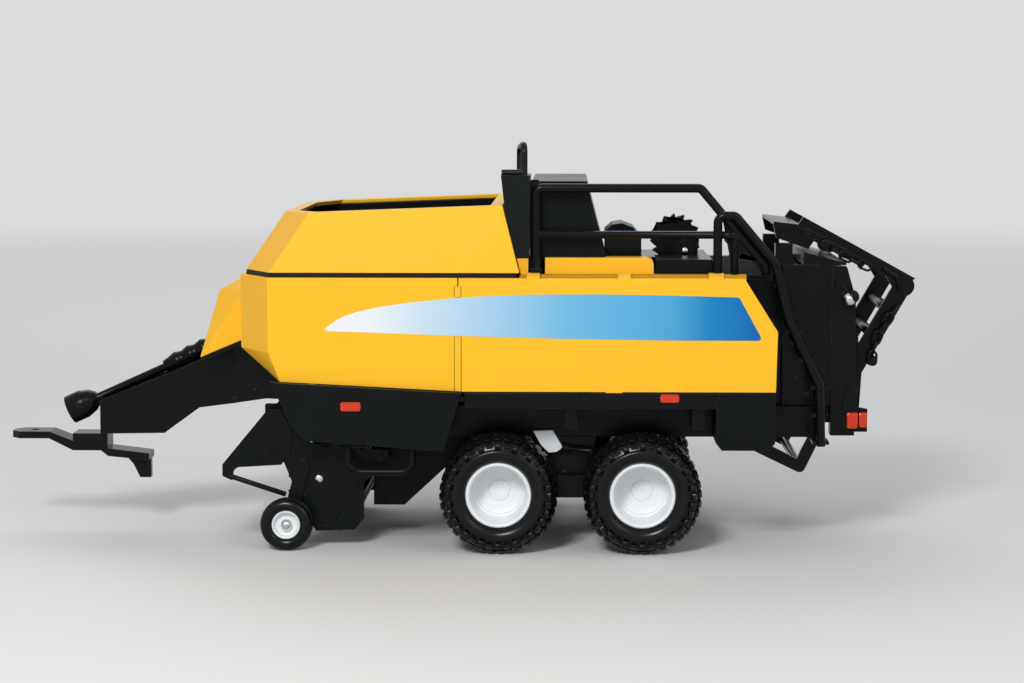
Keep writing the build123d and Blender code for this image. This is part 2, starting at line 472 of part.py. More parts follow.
# ---------------------------------------------------------------- deck equipment
col_y0, col_y1 = SIDE_Y - COL_IN, SIDE_Y - 3.8
col_z1 = DECK_TOP + COL_TOP
column = plate_xz([(HOOD_BACK - GAP, DECK_TOP), (HOOD_BACK + 4.4 - GAP, DECK_TOP + 18.6), (HOOD_BACK + 5.0, col_z1),
                   (HOOD_BACK - 2.8, col_z1), (HOOD_BACK - 2.3, DECK_TOP)], col_y0, col_y1)
leg_x, leg_y = HOOD_BACK - 1.2, (col_y0 + 3.0, col_y1 - 3.2)
column += bent_tube([(leg_x, leg_y[1], col_z1 - 0.5), (leg_x, leg_y[1], col_z1 + HANDLE_H),
                     (leg_x + 1.4, leg_y[0], col_z1 + HANDLE_H - 1.2), (leg_x + 1.4, leg_y[0], col_z1 - 0.5)],
                    HANDLE_R, 2.4)
column += rod((leg_x, leg_y[1], col_z1 + HANDLE_R - 0.3), (HOOD_BACK + 4.9, leg_y[1], col_z1 + HANDLE_R - 0.3), HANDLE_R)
put("hood_end_column", column)

cab_x = HOOD_BACK - 3.2
CAB_Y0, CAB_Y1, COVER_Y = -SIDE_Y + 17.0, SIDE_Y - 9.5, SIDE_Y - 15.0
COVER_Z, cab_z1 = DECK_TOP + COVER_H, DECK_TOP + CAB_TOP
cabinet = plate_xz([(cab_x - 0.4, COVER_Z), (cab_x, cab_z1), (cab_x - 14.8, cab_z1), (cab_x - 19.8, COVER_Z + 1.2),
                    (cab_x - 19.8, COVER_Z)], CAB_Y0, CAB_Y1)
cabinet += block(cab_x - 0.4, cab_x - 19.8, CAB_Y0, COVER_Y, DECK_TOP, COVER_Z)
put("service_cabinet", cabinet)
cover_x = (cab_x - 3.6, cab_x - 32.8)
deck_cover = plate_xz([(cover_x[0], DECK_TOP), (cover_x[0], COVER_Z), (cover_x[1] + 1.6, COVER_Z),
                       (cover_x[1] + 0.4, COVER_Z - 0.5), (cover_x[1], COVER_Z - 1.6), (cover_x[1], DECK_TOP)],
                      COVER_Y, HAND_Y - HAND_R - 0.1)
put("deck_cover", deck_cover)
fan_x = (cab_x - 19.9, cab_x - 29.7)
fan_top = DECK_TOP + 12.8
fan = plate_xz([(fan_x[0], DECK_TOP), (fan_x[0], fan_top - 2.2), (fan_x[0] - 2.0, fan_top - 0.4), (fan_x[0] - 4.6, fan_top),
                (fan_x[1] + 2.0, fan_top - 1.2), (fan_x[1], fan_top - 3.6), (fan_x[1], DECK_TOP)], 2.0, 20.0)
fan += block(fan_x[0], fan_x[1], 20.0, COVER_Y, DECK_TOP, DECK_TOP + 9.5)
put("fan_housing", fan)

# handrail over the deck, the hoop beside it and the rear ladder, welded into one piece
rail_z, mid_z = DECK_TOP + RAIL_TOP, DECK_TOP + RAIL_MID
post_x, out_y, in_y = cab_x - 1.1, SIDE_Y - LADDER_OUT, SIDE_Y - LADDER_IN
hand = bent_tube([(post_x, HAND_Y, DECK_TOP), (post_x, HAND_Y, rail_z), (-67.0, HAND_Y, rail_z),
                  (DOOR_X1 + 2.6, HAND_Y, DECK_TOP + 2.2), (DOOR_X1 + 2.6, HAND_Y, DECK_TOP)], HAND_R, 1.8)
hand += rod((post_x, HAND_Y, mid_z), (-76.4, HAND_Y, mid_z), MID_R)
LADDER = [(DOOR_X1 + 15.6, DECK_TOP), (DOOR_X1 + 15.6, DECK_TOP + 15.8), (DOOR_X1 + 10.9, DECK_TOP + 15.8),
          (DOOR_X1 + 0.1, DECK_TOP + 2.9), (DOOR_X1 - 3.6, DECK_TOP - 12.4), (DOOR_X1 - 12.0, DECK_TOP - 29.7),
          (DOOR_X1 - 12.6, 29.0)]
hand += bent_tube([(x, out_y, z) for x, z in LADDER], HAND_R, 2.0)
hand += bent_tube([(DOOR_X1 - 1.4, in_y, DECK_TOP - 3.4)] + [(x, in_y, z) for x, z in LADDER[-3:]], HAND_R, 2.0)
hand += block(post_x - 1.6, post_x + 1.45, HAND_Y - 0.4, out_y, DECK_TOP, DECK_TOP + 1.6)
hand += block(-75.2 - 0.9, -75.2 + 0.9, HAND_Y - 0.6, out_y, mid_z - 0.6, mid_z + 0.6)
hand += rod((-76.2, HAND_Y, DECK_TOP), (-76.2, HAND_Y, mid_z + HAND_R), MID_R)
(kx, kz), (lx, lz), (fx, fz) = LADDER[-3:]
TREADS = 5
for i in range(TREADS):
    z = kz - 2.6 - i * (kz - 2.6 - fz - 1.2) / (TREADS - 1)
    x = kx + (lx - kx) * (kz - z) / (kz - lz) if z > lz else lx + (fx - lx) * (lz - z) / (lz - fz)
    hand += block(x - TREAD_L / 2, x + TREAD_L / 2, in_y, out_y, z - TREAD_T, z)
put("handrail", hand)

# ---------------------------------------------------------------- knotter star wheel
root_r = STAR_R - 1.8
outline = []
for i in range(STAR_TEETH):
    for share, rad in ((0.0, root_r), (0.42, STAR_R), (0.62, STAR_R), (0.78, root_r)):
        a = 2 * math.pi * (i + share) / STAR_TEETH
        outline.append((STAR_X + rad * math.sin(a), STAR_Z + rad * math.cos(a)))
star = plate_xz(outline, STAR_Y, STAR_Y + STAR_T)
star -= rod_y(STAR_X, STAR_Z, STAR_Y - 1, STAR_Y + STAR_T + 1, STAR_PIN_R + RUN)
put("star_wheel", star)

star_y1 = STAR_Y + STAR_T + GAP
base = block(STAR_X - 9.6, STAR_X + 9.0, -24.0, STAR_Y - 1.2, DECK_TOP, DECK_TOP + 2.7)
base += plate_xz([(STAR_X - 3.4, DECK_TOP), (STAR_X + 3.4, DECK_TOP), (STAR_X + 1.8, STAR_Z + 1.8),
                  (STAR_X - 1.8, STAR_Z + 1.8)], STAR_Y - 2.6, STAR_Y - 1.2)
base += rod_y(STAR_X, STAR_Z, STAR_Y - 2.0, star_y1, STAR_PIN_R)
ring_x, ring_z = STAR_X - 2.7, STAR_Z - 2.5
bearing = plate_xz([(ring_x - 3.4, DECK_TOP), (ring_x + 3.4, DECK_TOP), (ring_x + 3.4, ring_z + 1.8),
                    (ring_x + 1.8, ring_z + 3.4), (ring_x - 1.8, ring_z + 3.4), (ring_x - 3.4, ring_z + 1.8)],
                   star_y1, star_y1 + 2.6)
bearing += rod_y(ring_x, ring_z, star_y1 + 2.0, star_y1 + 3.4, 2.3)
bearing -= rod_y(ring_x, ring_z, star_y1 + 2.9, star_y1 + 4.0, 1.9)
bearing += rod_y(ring_x, ring_z, star_y1 + 2.0, star_y1 + 3.8, 1.35)
low_box = plate_xz([(STAR_X - 9.6, DECK_TOP), (STAR_X - 9.6, DECK_TOP + 3.0), (STAR_X - 8.8, DECK_TOP + 3.9),
                    (STAR_X + 6.0, DECK_TOP + 3.9), (STAR_X + 6.0, DECK_TOP)], star_y1 + 5.4, SIDE_Y - 7.0)
put("knotter_frame", base, bearing, low_box)

# ---------------------------------------------------------------- running gear
half = TYRE_W / 2
tyre_sec = [(-half + 1.8, RIM_R + SEAT), (-half, RIM_R + 3.0), (-half + 0.9, WHEEL_R - 2.0), (-half + 2.8, WHEEL_R),
            (half - 2.8, WHEEL_R), (half - 0.9, WHEEL_R - 2.0), (half, RIM_R + 3.0), (half - 1.8, RIM_R + SEAT)]
dish = RIM_W / 2
web_y = dish - DISH_DEPTH
rim_sec = [(-dish, RIM_R), (-dish, RIM_R - 1.2), (web_y - 1.2, RIM_R - 2.0), (web_y - 1.2, 3.0), (-dish, 2.6),
           (-dish, STUB_R + RUN), (web_y - 0.6, STUB_R + RUN), (web_y - 0.6, 0), (web_y + 0.5, 0), (web_y + 0.5, 2.2),
           (web_y, 2.6), (web_y, 5.6), (web_y + 0.8, 6.3), (dish - 0.8, RIM_R - 1.7), (dish, RIM_R - 1.3),
           (dish, RIM_R)]
for tag, ax in zip(("front", "rear"), AXLES):
    put_sides(f"tyre_{tag}", revolve_y(tyre_sec, WHEEL_Y, ax, WHEEL_R))
    put_sides(f"rim_{tag}", revolve_y(rim_sec, WHEEL_Y, ax, WHEEL_R))

beam = link_bar((AXLES[0], WHEEL_R), (AXLES[1], WHEEL_R), BEAM_H / 2, BEAM_Y0, BEAM_Y1)
stubs = [rod_y(ax, WHEEL_R, BEAM_Y1, WHEEL_Y + RIM_W / 2 - DISH_DEPTH - 0.8, STUB_R) for ax in AXLES]
put_both("bogie_beams", beam + stubs)
hanger = plate_xz([(BOGIE_X - 7, RAIL_Z0), (BOGIE_X + 7, RAIL_Z0), (BOGIE_X + 3.6, WHEEL_R - 1.5),
                   (BOGIE_X - 3.6, WHEEL_R - 1.5)], RAIL_Y, BEAM_Y0)
put("bogie_carrier", hanger + far(hanger)
    + rod_y(BOGIE_X, WHEEL_R + PIVOT_RISE, -RAIL_Y - 1, RAIL_Y + 1, PIVOT_R))
seat_pts = [(10.3, 15.2), (4.9, 15.4), (2.2, 10.7), (3.8, 9.4), (6.0, 9.2), (8.2, 11.4)]
put_both("spring_seats", plate_xz([(BOGIE_X + x, WHEEL_R + z) for x, z in seat_pts], BEAM_Y0,
                                 BEAM_Y0 + 0.64 * (BEAM_Y1 - BEAM_Y0)))

# ---------------------------------------------------------------- pickup
(px, pz), (rx, rz) = PICK_PIVOT, REEL_AXIS
plate = plate_xz([(rx + 11.0, rz + 9.6), (rx - 5.6, rz + 9.6), (px - 2.2, pz + 2.2), (px - 2.2, pz - 2.2),
                  (px + 4.5, rz + 0.4), (rx - 12.4, rz - 9.6), (rx - 9.8, rz - 12.8), (rx + 0.8, rz - 13.2),
                  (rx + 5.1, rz - 5.1)], PLATE_Y - PLATE_T, PLATE_Y)
plate -= rod_y(rx, rz, PLATE_Y - 3, PLATE_Y + 3, 1.0 + RUN)
plate -= rod_y(px, pz, PLATE_Y - 3, PLATE_Y + 3, 1.0 + RUN)
plate += link_bar((GAUGE_X, GAUGE_R), (rx + 4.2, rz + 4.8), 1.8, PLATE_Y, PLATE_Y + 1.2)
plate += rod_y(GAUGE_X, GAUGE_R, PLATE_Y, GAUGE_Y + 1.6, 1.0)
tail_x = rx - 11.4
bar_in = BAND_R - BAND_T - PICK_BAR_R - RUN
crossbars = [rod_y(tail_x + 0.6, rz + s * bar_in, -PLATE_Y + 0.4, PLATE_Y - 0.4, PICK_BAR_R) for s in (1, -1)]
put("pickup_frame", plate + far(plate) + crossbars)

reel_y = PLATE_Y - PLATE_T - 0.4
reel = rod_y(rx, rz, -reel_y, reel_y, REEL_CORE_R) + rod_y(rx, rz, -PLATE_Y - 0.4, PLATE_Y + 0.4, 1.0)
n_half = int((reel_y - 1.0) / BAND_PITCH)
for k in range(TINE_ROWS):
    at = Pos(rx, 0, rz) * Rot(0, 360 / TINE_ROWS * k + 20, 0)
    reel += [at * block(-TINE_T / 2, TINE_T / 2, (i + 0.5) * BAND_PITCH - TINE_T / 2, (i + 0.5) * BAND_PITCH + TINE_T / 2,
                        REEL_CORE_R - 0.6, REEL_TIP_R) for i in range(-n_half, n_half)]
put("pickup_reel", reel)

# stripper bands: hoops between the tines, laid round the reel from crossbar to crossbar
b_in = BAND_R - BAND_T
wire = (Line((tail_x, 0, rz + BAND_R), (rx, 0, rz + BAND_R))
        + ThreePointArc((rx, 0, rz + BAND_R), (rx + BAND_R, 0, rz), (rx, 0, rz - BAND_R))
        + Line((rx, 0, rz - BAND_R), (tail_x, 0, rz - BAND_R)) + Line((tail_x, 0, rz - BAND_R), (tail_x, 0, rz - b_in))
        + Line((tail_x, 0, rz - b_in), (rx, 0, rz - b_in))
        + ThreePointArc((rx, 0, rz - b_in), (rx + b_in, 0, rz), (rx, 0, rz + b_in))
        + Line((rx, 0, rz + b_in), (tail_x, 0, rz + b_in)) + Line((tail_x, 0, rz + b_in), (tail_x, 0, rz + BAND_R)))
band = extrude(make_face(wire), amount=BAND_W, dir=(0, 1, 0))
put("stripper_bands", *[Pos(0, i * BAND_PITCH - BAND_W / 2, 0) * band for i in range(-n_half + 1, n_half)])

wg = plate_xz([(RAIL_X0 - 5.2, RAIL_Z1), (RAIL_X0 - 2.0, RAIL_Z1), (62.6, 22.8), (62.6, 19.6), (60.0, 18.4), (59.4, 21.6),
               (53.7, 23.4), (47.6, 27.4), (46.6, 24.8), (44.4, 24.6), (43.3, 31.9)], PLATE_Y, PLATE_Y + 0.9)
wg += rod((60.6, PLATE_Y + 0.7, 19.6), (45.3, PLATE_Y + 0.7, 14.6), 0.7)
put("windguard", wg + far(wg) + rod_y(61.0, 21.0, -PLATE_Y - 0.4, PLATE_Y + 0.4, 1.2))

gh = GAUGE_W / 2
gauge_sec = [(-gh + 0.9, GAUGE_RIM_R + SEAT), (-gh, GAUGE_RIM_R + 1.0), (-gh + 1.0, GAUGE_R), (gh - 1.0, GAUGE_R),
             (gh, GAUGE_RIM_R + 1.0), (gh - 0.9, GAUGE_RIM_R + SEAT)]
grim_sec = [(-2.2, GAUGE_RIM_R), (-2.2, 1.0 + RUN), (0.9, 1.0 + RUN), (0.9, 2.9), (2.2, 3.4), (2.2, GAUGE_RIM_R)]
put_sides("gauge_tyre", revolve_y(gauge_sec, GAUGE_Y, GAUGE_X, GAUGE_R))
put_sides("gauge_rim", revolve_y(grim_sec, GAUGE_Y, GAUGE_X, GAUGE_R))
lug = plate_xz([(px - 5.0, RAIL_Z0), (px + 0.5, RAIL_Z0), (px + 2.2, pz - 1.8), (px - 2.2, pz - 1.8)], RAIL_Y, RAIL_OUT)
put_both("pickup_pivot", lug + rod_y(px, pz, RAIL_Y, PLATE_Y + 0.6, 1.0))
duct = plate_xz([(22.6, 21.0), (22.6, 9.0), (14.0, 9.0), (0.0, 22.0), (-6.0, CH_FOOT), (CH_X0, CH_FOOT),
                 (CH_X0, 28.0)], -CH_W / 2 + 0.75, CH_W / 2 - 0.75)
gearbox = plate_xz([(CH_X0, CH_FOOT - 0.5), (CH_X0, CH_ROOF + CH_WALL), (CH_X0 + 18, CH_ROOF + CH_WALL),
                    (CH_X0 + 22, CH_ROOF - 4), (CH_X0 + 22, CH_FOOT - 0.5)], -CH_SIDE, CH_SIDE)
put("feeder_housing", duct + gearbox)

# ---------------------------------------------------------------- needle yoke and lamps
YOKE = ((CH_X1 + 23.0, 27.0), (CH_X1 + 11.8, 21.6), (CH_X1 + 7.0, 31.5))
yoke = link_bar(YOKE[0], YOKE[1], 1.6, TF_Y, TF_Y + 1.4) + link_bar(YOKE[1], YOKE[2], 1.6, TF_Y, TF_Y + 1.4)
put("needle_yoke", yoke + far(yoke) + rod_y(*YOKE[1], -TF_Y - 0.5, TF_Y + 0.5, 1.2))
LAMP_Z = (32.4, 36.7)
lamp_x = TF_X1 + 2.4
lamp_y = TF_Y + 1.0
lens = [block(lamp_x, lamp_x - 3.0, lamp_y, lamp_y + 2.4, *LAMP_Z),
        block(lamp_x - 3.4, lamp_x - 5.6, lamp_y, lamp_y + 1.6, LAMP_Z[0] + 0.2, LAMP_Z[1]),
        block(29.2, 23.8, shield_y + SHIELD_T, shield_y + SHIELD_T + 0.6, 38.9, 41.3),
        block(-56.4, -61.4, SIDE_Y - 0.4, SIDE_Y + 0.2, 41.2, 43.4)]
put_both("lamp_lenses", *lens)
bracket = plate_xz([(lamp_x + 0.8, LAMP_Z[0] - 1.2), (lamp_x - 5.8, LAMP_Z[0] - 1.2), (lamp_x - 5.8, LAMP_Z[1] + 0.8),
                    (lamp_x - 2.8, LAMP_Z[1] + 1.4), (lamp_x - 2.8, LAMP_Z[1] + 7.4), (lamp_x - 0.6, LAMP_Z[1] + 7.4),
                    (lamp_x + 0.8, LAMP_Z[1] + 1.4)], TF_Y, lamp_y)
hinge_bar = (rod_y(*CHUTE_PIVOT, -TF_Y + 0.4, TF_Y - 0.4, CHUTE_PIN_R)
             + block(CH_X1, CHUTE_PIVOT[0] + 0.4, -CH_W / 2 + 1.75, CH_W / 2 - 1.75, CHUTE_PIVOT[1] - 1.1, CH_FLOOR))
put("rear_brackets", bracket, far(bracket), hinge_bar)

# ---------------------------------------------------------------- bale chute
knee = (CHUTE_PIVOT[0] + KNEE[0], CHUTE_PIVOT[1] + KNEE[1])
low_y = CHUTE_Y - CHUTE_T
low = (link_bar(CHUTE_PIVOT, knee, CHUTE_H / 2, low_y, CHUTE_Y) + link_bar(knee, FOLD_HINGE, CHUTE_H / 2, low_y, CHUTE_Y))
for place in (CHUTE_PIVOT, FOLD_HINGE):
    low -= rod_y(*place, 10, 40, CHUTE_PIN_R + RUN)
fall = math.degrees(math.atan2(FOLD_HINGE[1] - knee[1], FOLD_HINGE[0] - knee[0]))
fall_len = math.dist(FOLD_HINGE, knee)
low_rollers = [along(knee, fall, fall_len * k, 0) for k in (0.12, 0.42, 0.72)] + [(knee[0], knee[1] - 6.4)]
anchor = along(knee, fall, 4.9, 2.9)
low += link_bar(along(knee, fall, 4.9, 0.4), anchor, 1.5, low_y, CHUTE_Y)
low += rod_y(*anchor, CHUTE_Y, CHUTE_Y + 4.4, HOOK_R) + rod_y(*anchor, CHUTE_Y + 4.3, CHUTE_Y + 4.9, HOOK_R + 0.5)
put("chute_lower", low, far(low), *[rod_y(*at, -low_y + RUN, low_y - RUN, ROLLER_R) for at in low_rollers])


def on_upper(s, t):
    """Point (x, z) at distance s along and t across the upper rails, from the fold hinge."""
    return along(FOLD_HINGE, UPPER_TILT, s, t)


L, H = UPPER_LEN, UPPER_H
up = plate_xz([on_upper(*p) for p in ((-1.8, H - 0.1), (L, H), (L + 0.4, 0.2), (5.6, 0.0), (1.6, -2.4))], UP_Y0, UP_Y1)
up += rod_y(*FOLD_HINGE, UP_Y0, UP_Y1, CHUTE_H / 2 + 0.5)
up += plate_xz([on_upper(*p) for p in ((12.0, 1.1), (L - 2.0, 1.1), (L - 2.6, -1.1), (12.6, -1.1))], UP_Y0 + 0.7, UP_Y1 + 0.6)
disc = on_upper(24.8, -0.3)
boss = rod_y(*disc, UP_Y1 + 0.6, UP_Y1 + 1.2, 2.0)
up += rod_y(*FOLD_HINGE, low_y - 0.5, UP_Y0, CHUTE_PIN_R)
boss += rod_y(*disc, UP_Y1 + 1.1, UP_Y1 + 3.6, HOOK_R) + rod_y(*disc, UP_Y1 + 3.5, UP_Y1 + 4.1, HOOK_R + 0.5)
stay = [on_upper(*p) for p in ((7.2, 1.5), (3.4, 1.3), (0.2, -1.9))]
stay_y = UP_Y1 + 1.4
up += bent_tube([(stay[0][0], UP_Y1 - 0.4, stay[0][1])] + [(x, stay_y, z) for x, z in stay], HOOK_R, 1.0)
lip_a, lip_q = on_upper(L - 1.2, 0.3), UPPER_TILT - LIP_TILT
lip = plate_xz([lip_a, along(lip_a, lip_q, LIP_LEN, 0), along(lip_a, lip_q, LIP_LEN, LIP_T),
                on_upper(L - 0.4, 0.3 + LIP_T), on_upper(L - 6.0, 0.3 + LIP_T), on_upper(L - 6.0, 0.3)], -UP_Y0, UP_Y0)
flange = plate_xz([on_upper(*p) for p in ((L - 6.0, 0.3), (L - 5.6, -3.7), (L + 3.6, -5.2), (L + 6.1, -2.4),
                                          (L - 1.2, 0.3))], UP_Y0 - 1.2, UP_Y0) - lip - up
put("chute_upper", up, far(up), lip, flange, far(flange), boss, far(boss),
    *[rod_y(*on_upper(s, H / 2), -UP_Y0 + RUN, UP_Y0 - RUN, ROLLER_R) for s in (8.5, 15.5, 22.5)])

# chains beside the rails: alternate links lie flat and on edge
LINK_PITCH = LINK_L - 2 * LINK_BAR - 0.1


def ring():
    """One flat chain link round the origin, long axis along X."""
    c = (LINK_L - LINK_W) / 2
    shapes = []
    for r in (LINK_W / 2, LINK_W / 2 - LINK_BAR):
        end = [(c, r), (c + r, 0.42 * r), (c + r, -0.42 * r), (c, -r)]
        shapes.append(plate_xz(end + [(-x, -z) for x, z in end], -LINK_BAR / 2, LINK_BAR / 2))
    return shapes[0] - shapes[1]


def chain(pin, pin_r, heading, turns, y):
    """Links hooked on a pin at (x, z), each turned from the one before by its own angle."""
    first = math.radians(heading + turns[0])
    back = LINK_PITCH / 2 - (LINK_L / 2 - LINK_BAR - pin_r - 2 * RUN)
    at = Vector(pin[0] - back * math.cos(first), 0, pin[1] - back * math.sin(first))
    links, a = [], heading
    for i, turn in enumerate(turns):
        a += turn
        mid = at + Vector(math.cos(math.radians(a)), 0, math.sin(math.radians(a))) * (LINK_PITCH / 2)
        links.append(Pos(mid.X, y, mid.Z) * Rot(0, -a, 0) * Rot(90 if i % 2 else 0, 0, 0) * ring())
        at += Vector(math.cos(math.radians(a)), 0, math.sin(math.radians(a))) * LINK_PITCH
    return links


up_links = chain(disc, HOOK_R, UPPER_TILT + 184, (0, -1, -3, -4, -4), UP_Y1 + 2.35)
put_both("chain_upper", *up_links)
low_links = chain(anchor, HOOK_R, 92, (0, 10, 12, 6, 4, 2), CHUTE_Y + 2.7)
put_both("chain_lower", *low_links)
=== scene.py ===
"""Looks of the square baler: paint, rubber, printed band, wheels, chains and small fittings.

Lengths are in millimetres unless a comment says otherwise. X points to the front, Y to the left and Z up.
"""

from __future__ import annotations

import json
import logging
import math
from dataclasses import dataclass, field
from enum import Enum
from typing import Callable, Sequence

import bmesh
import bpy
from mathutils import Matrix, Vector
from mathutils.bvhtree import BVHTree

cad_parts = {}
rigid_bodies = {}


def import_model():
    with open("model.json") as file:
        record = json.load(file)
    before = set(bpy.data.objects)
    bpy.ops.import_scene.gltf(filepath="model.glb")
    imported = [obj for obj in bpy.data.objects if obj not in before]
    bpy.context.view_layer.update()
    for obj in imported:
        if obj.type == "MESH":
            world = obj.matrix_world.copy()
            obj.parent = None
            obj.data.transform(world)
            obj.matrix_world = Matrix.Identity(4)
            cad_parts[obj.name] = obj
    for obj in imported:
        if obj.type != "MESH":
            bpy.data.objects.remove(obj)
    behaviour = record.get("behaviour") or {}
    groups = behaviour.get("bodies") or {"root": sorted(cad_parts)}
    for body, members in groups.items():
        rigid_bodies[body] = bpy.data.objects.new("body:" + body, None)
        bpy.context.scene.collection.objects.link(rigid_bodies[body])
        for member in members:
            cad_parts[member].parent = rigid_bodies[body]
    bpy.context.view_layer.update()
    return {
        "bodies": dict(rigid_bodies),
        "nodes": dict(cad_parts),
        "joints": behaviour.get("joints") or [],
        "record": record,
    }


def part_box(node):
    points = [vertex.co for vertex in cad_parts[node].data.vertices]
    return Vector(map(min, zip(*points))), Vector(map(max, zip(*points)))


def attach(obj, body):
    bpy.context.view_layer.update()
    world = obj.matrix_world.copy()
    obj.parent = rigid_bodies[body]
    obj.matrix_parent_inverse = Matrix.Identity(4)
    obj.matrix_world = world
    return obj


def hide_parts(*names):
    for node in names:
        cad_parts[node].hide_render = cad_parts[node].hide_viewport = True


MM = 0.001
Colour = tuple[float, float, float]
Pair = tuple[float, float]
Socket = bpy.types.NodeSocket
Vert = bmesh.types.BMVert
log = logging.getLogger("baler")


class Side(Enum):
    """The two sides of the machine, as signs of Y."""

    LEFT = 1
    RIGHT = -1

    @property
    def tag(self) -> str:
        """Return the side as it stands in the names of nodes and pieces."""
        return self.name.lower()


class Axle(Enum):
    """The two axles of the bogie."""

    FRONT = "front"
    REAR = "rear"


class Slot(Enum):
    """The record's material slots."""

    YELLOW = "yellow"
    BLACK_PLASTIC = "black_plastic"
    BLACK_METAL = "black_metal"
    SEAL = "seal"
    TYRE = "tyre"
    WHITE = "white"
    ORANGE = "orange"
    STEEL = "steel"


class Head(Enum):
    """Heads of bolts: number of sides, and an outline as shares of (height, radius)."""

    HEXAGON = (6, ((0.0, 1.0), (0.82, 1.0), (1.0, 0.82)))
    DOME = (20, ((0.0, 1.0), (0.55, 0.96), (0.85, 0.7), (1.0, 0.3)))


# ------------------------------------------------------------------ shader helpers
class Sheet:
    """A node tree with short ways to add and join nodes."""

    def __init__(self, tree: bpy.types.NodeTree) -> None:
        """Keep the tree that the nodes go into."""
        self.tree = tree

    def put(self, node: bpy.types.Node, name: str | int, value: object) -> None:
        """Set one input to a constant or join it to another node's output.

        Args:
            node: The node.
            name: Name or number of its input.
            value: The constant or the output socket.
        """
        if isinstance(value, Socket):
            self.tree.links.new(value, node.inputs[name])
        else:
            node.inputs[name].default_value = value

    def add(self, kind: str, **sockets: object) -> bpy.types.Node:
        """Add a node and set its sockets.

        Args:
            kind: Node type without the ShaderNode prefix.
            sockets: Input names, spaces as underscores, with a value or an output socket.

        Returns:
            The new node.
        """
        node = self.tree.nodes.new("ShaderNode" + kind)
        self._fill(node, sockets)
        return node

    def _fill(self, node: bpy.types.Node, sockets: dict[str, object]) -> None:
        """Set inputs by their names, with spaces as underscores."""
        for name, value in sockets.items():
            self.put(node, name.replace("_", " "), value)

    def group(self, tree: bpy.types.NodeTree, **sockets: object) -> bpy.types.Node:
        """Place a shared group with its own values.

        Args:
            tree: The group.
            sockets: Input names, spaces as underscores, with a value or an output socket.

        Returns:
            The new node.
        """
        node = self.add("Group")
        node.node_tree = tree
        self._fill(node, sockets)
        return node

    def maths(self, operation: str, a: object, b: object = 0.0, clamp: bool = False) -> Socket:
        """Work out a value with a Math node.

        Args:
            operation: Blender's name of the operation.
            a: First value or output socket.
            b: Second value or output socket.
            clamp: Whether the result is kept between 0 and 1.

        Returns:
            The result.
        """
        node = self.add("Math")
        node.operation, node.use_clamp = operation, clamp
        self.put(node, 0, a)
        self.put(node, 1, b)
        return node.outputs[0]

    def vector(self, operation: str, *values: Socket) -> Socket:
        """Work out a number from vectors.

        Args:
            operation: Blender's name of the operation.
            values: The vectors, as output sockets.

        Returns:
            The number.
        """
        node = self.add("VectorMath")
        node.operation = operation
        for index, value in enumerate(values):
            self.put(node, index, value)
        return node.outputs["Value"]

    def ramp(self, value: object, stops: Sequence[tuple[float, Colour | float]]) -> Socket:
        """Colour a value by a ramp.

        Args:
            value: The value or output socket.
            stops: Places on the ramp, each with a colour or a grey.

        Returns:
            The colour.
        """
        node = self.add("ValToRGB")
        self.put(node, 0, value)
        marks = node.color_ramp.elements
        while len(marks) < len(stops):
            marks.new(0.5)
        for mark, (place, shade) in zip(marks, stops):
            mark.position = place
            mark.color = (shade,) * 3 + (1,) if isinstance(shade, float) else (*shade, 1)
        return node.outputs[0]

    def mix(self, share: object, a: object, b: object) -> Socket:
        """Mix two colours.

        Args:
            share: How much of the second one.
            a: First colour or output socket.
            b: Second colour or output socket.

        Returns:
            The mixed colour.
        """
        node = self.add("Mix")
        node.data_type = "RGBA"
        self.put(node, 0, share)
        for socket, value in zip([s for s in node.inputs if s.type == "RGBA"], (a, b)):
            if isinstance(value, Socket):
                self.tree.links.new(value, socket)
            else:
                socket.default_value = (*value, 1)
        return node.outputs[2]

    def blend(self, share: object, first: Socket, second: Socket) -> Socket:
        """Blend two shaders.

        Args:
            share: How much of the second one.
            first: First shader.
            second: Second shader.

        Returns:
            The blended shader.
        """
        node = self.add("MixShader")
        for index, value in enumerate((share, first, second)):
            self.put(node, index, value)
        return node.outputs[0]

    def noise(self, place: object, scale: object, detail: float) -> Socket:
        """Return the value of a noise texture."""
        return self.add("TexNoise", Vector=place, Scale=scale, Detail=detail).outputs[0]

    def place(self) -> Socket:
        """Return the piece's own coordinates, in metres."""
        return self.add("TexCoord").outputs["Object"]


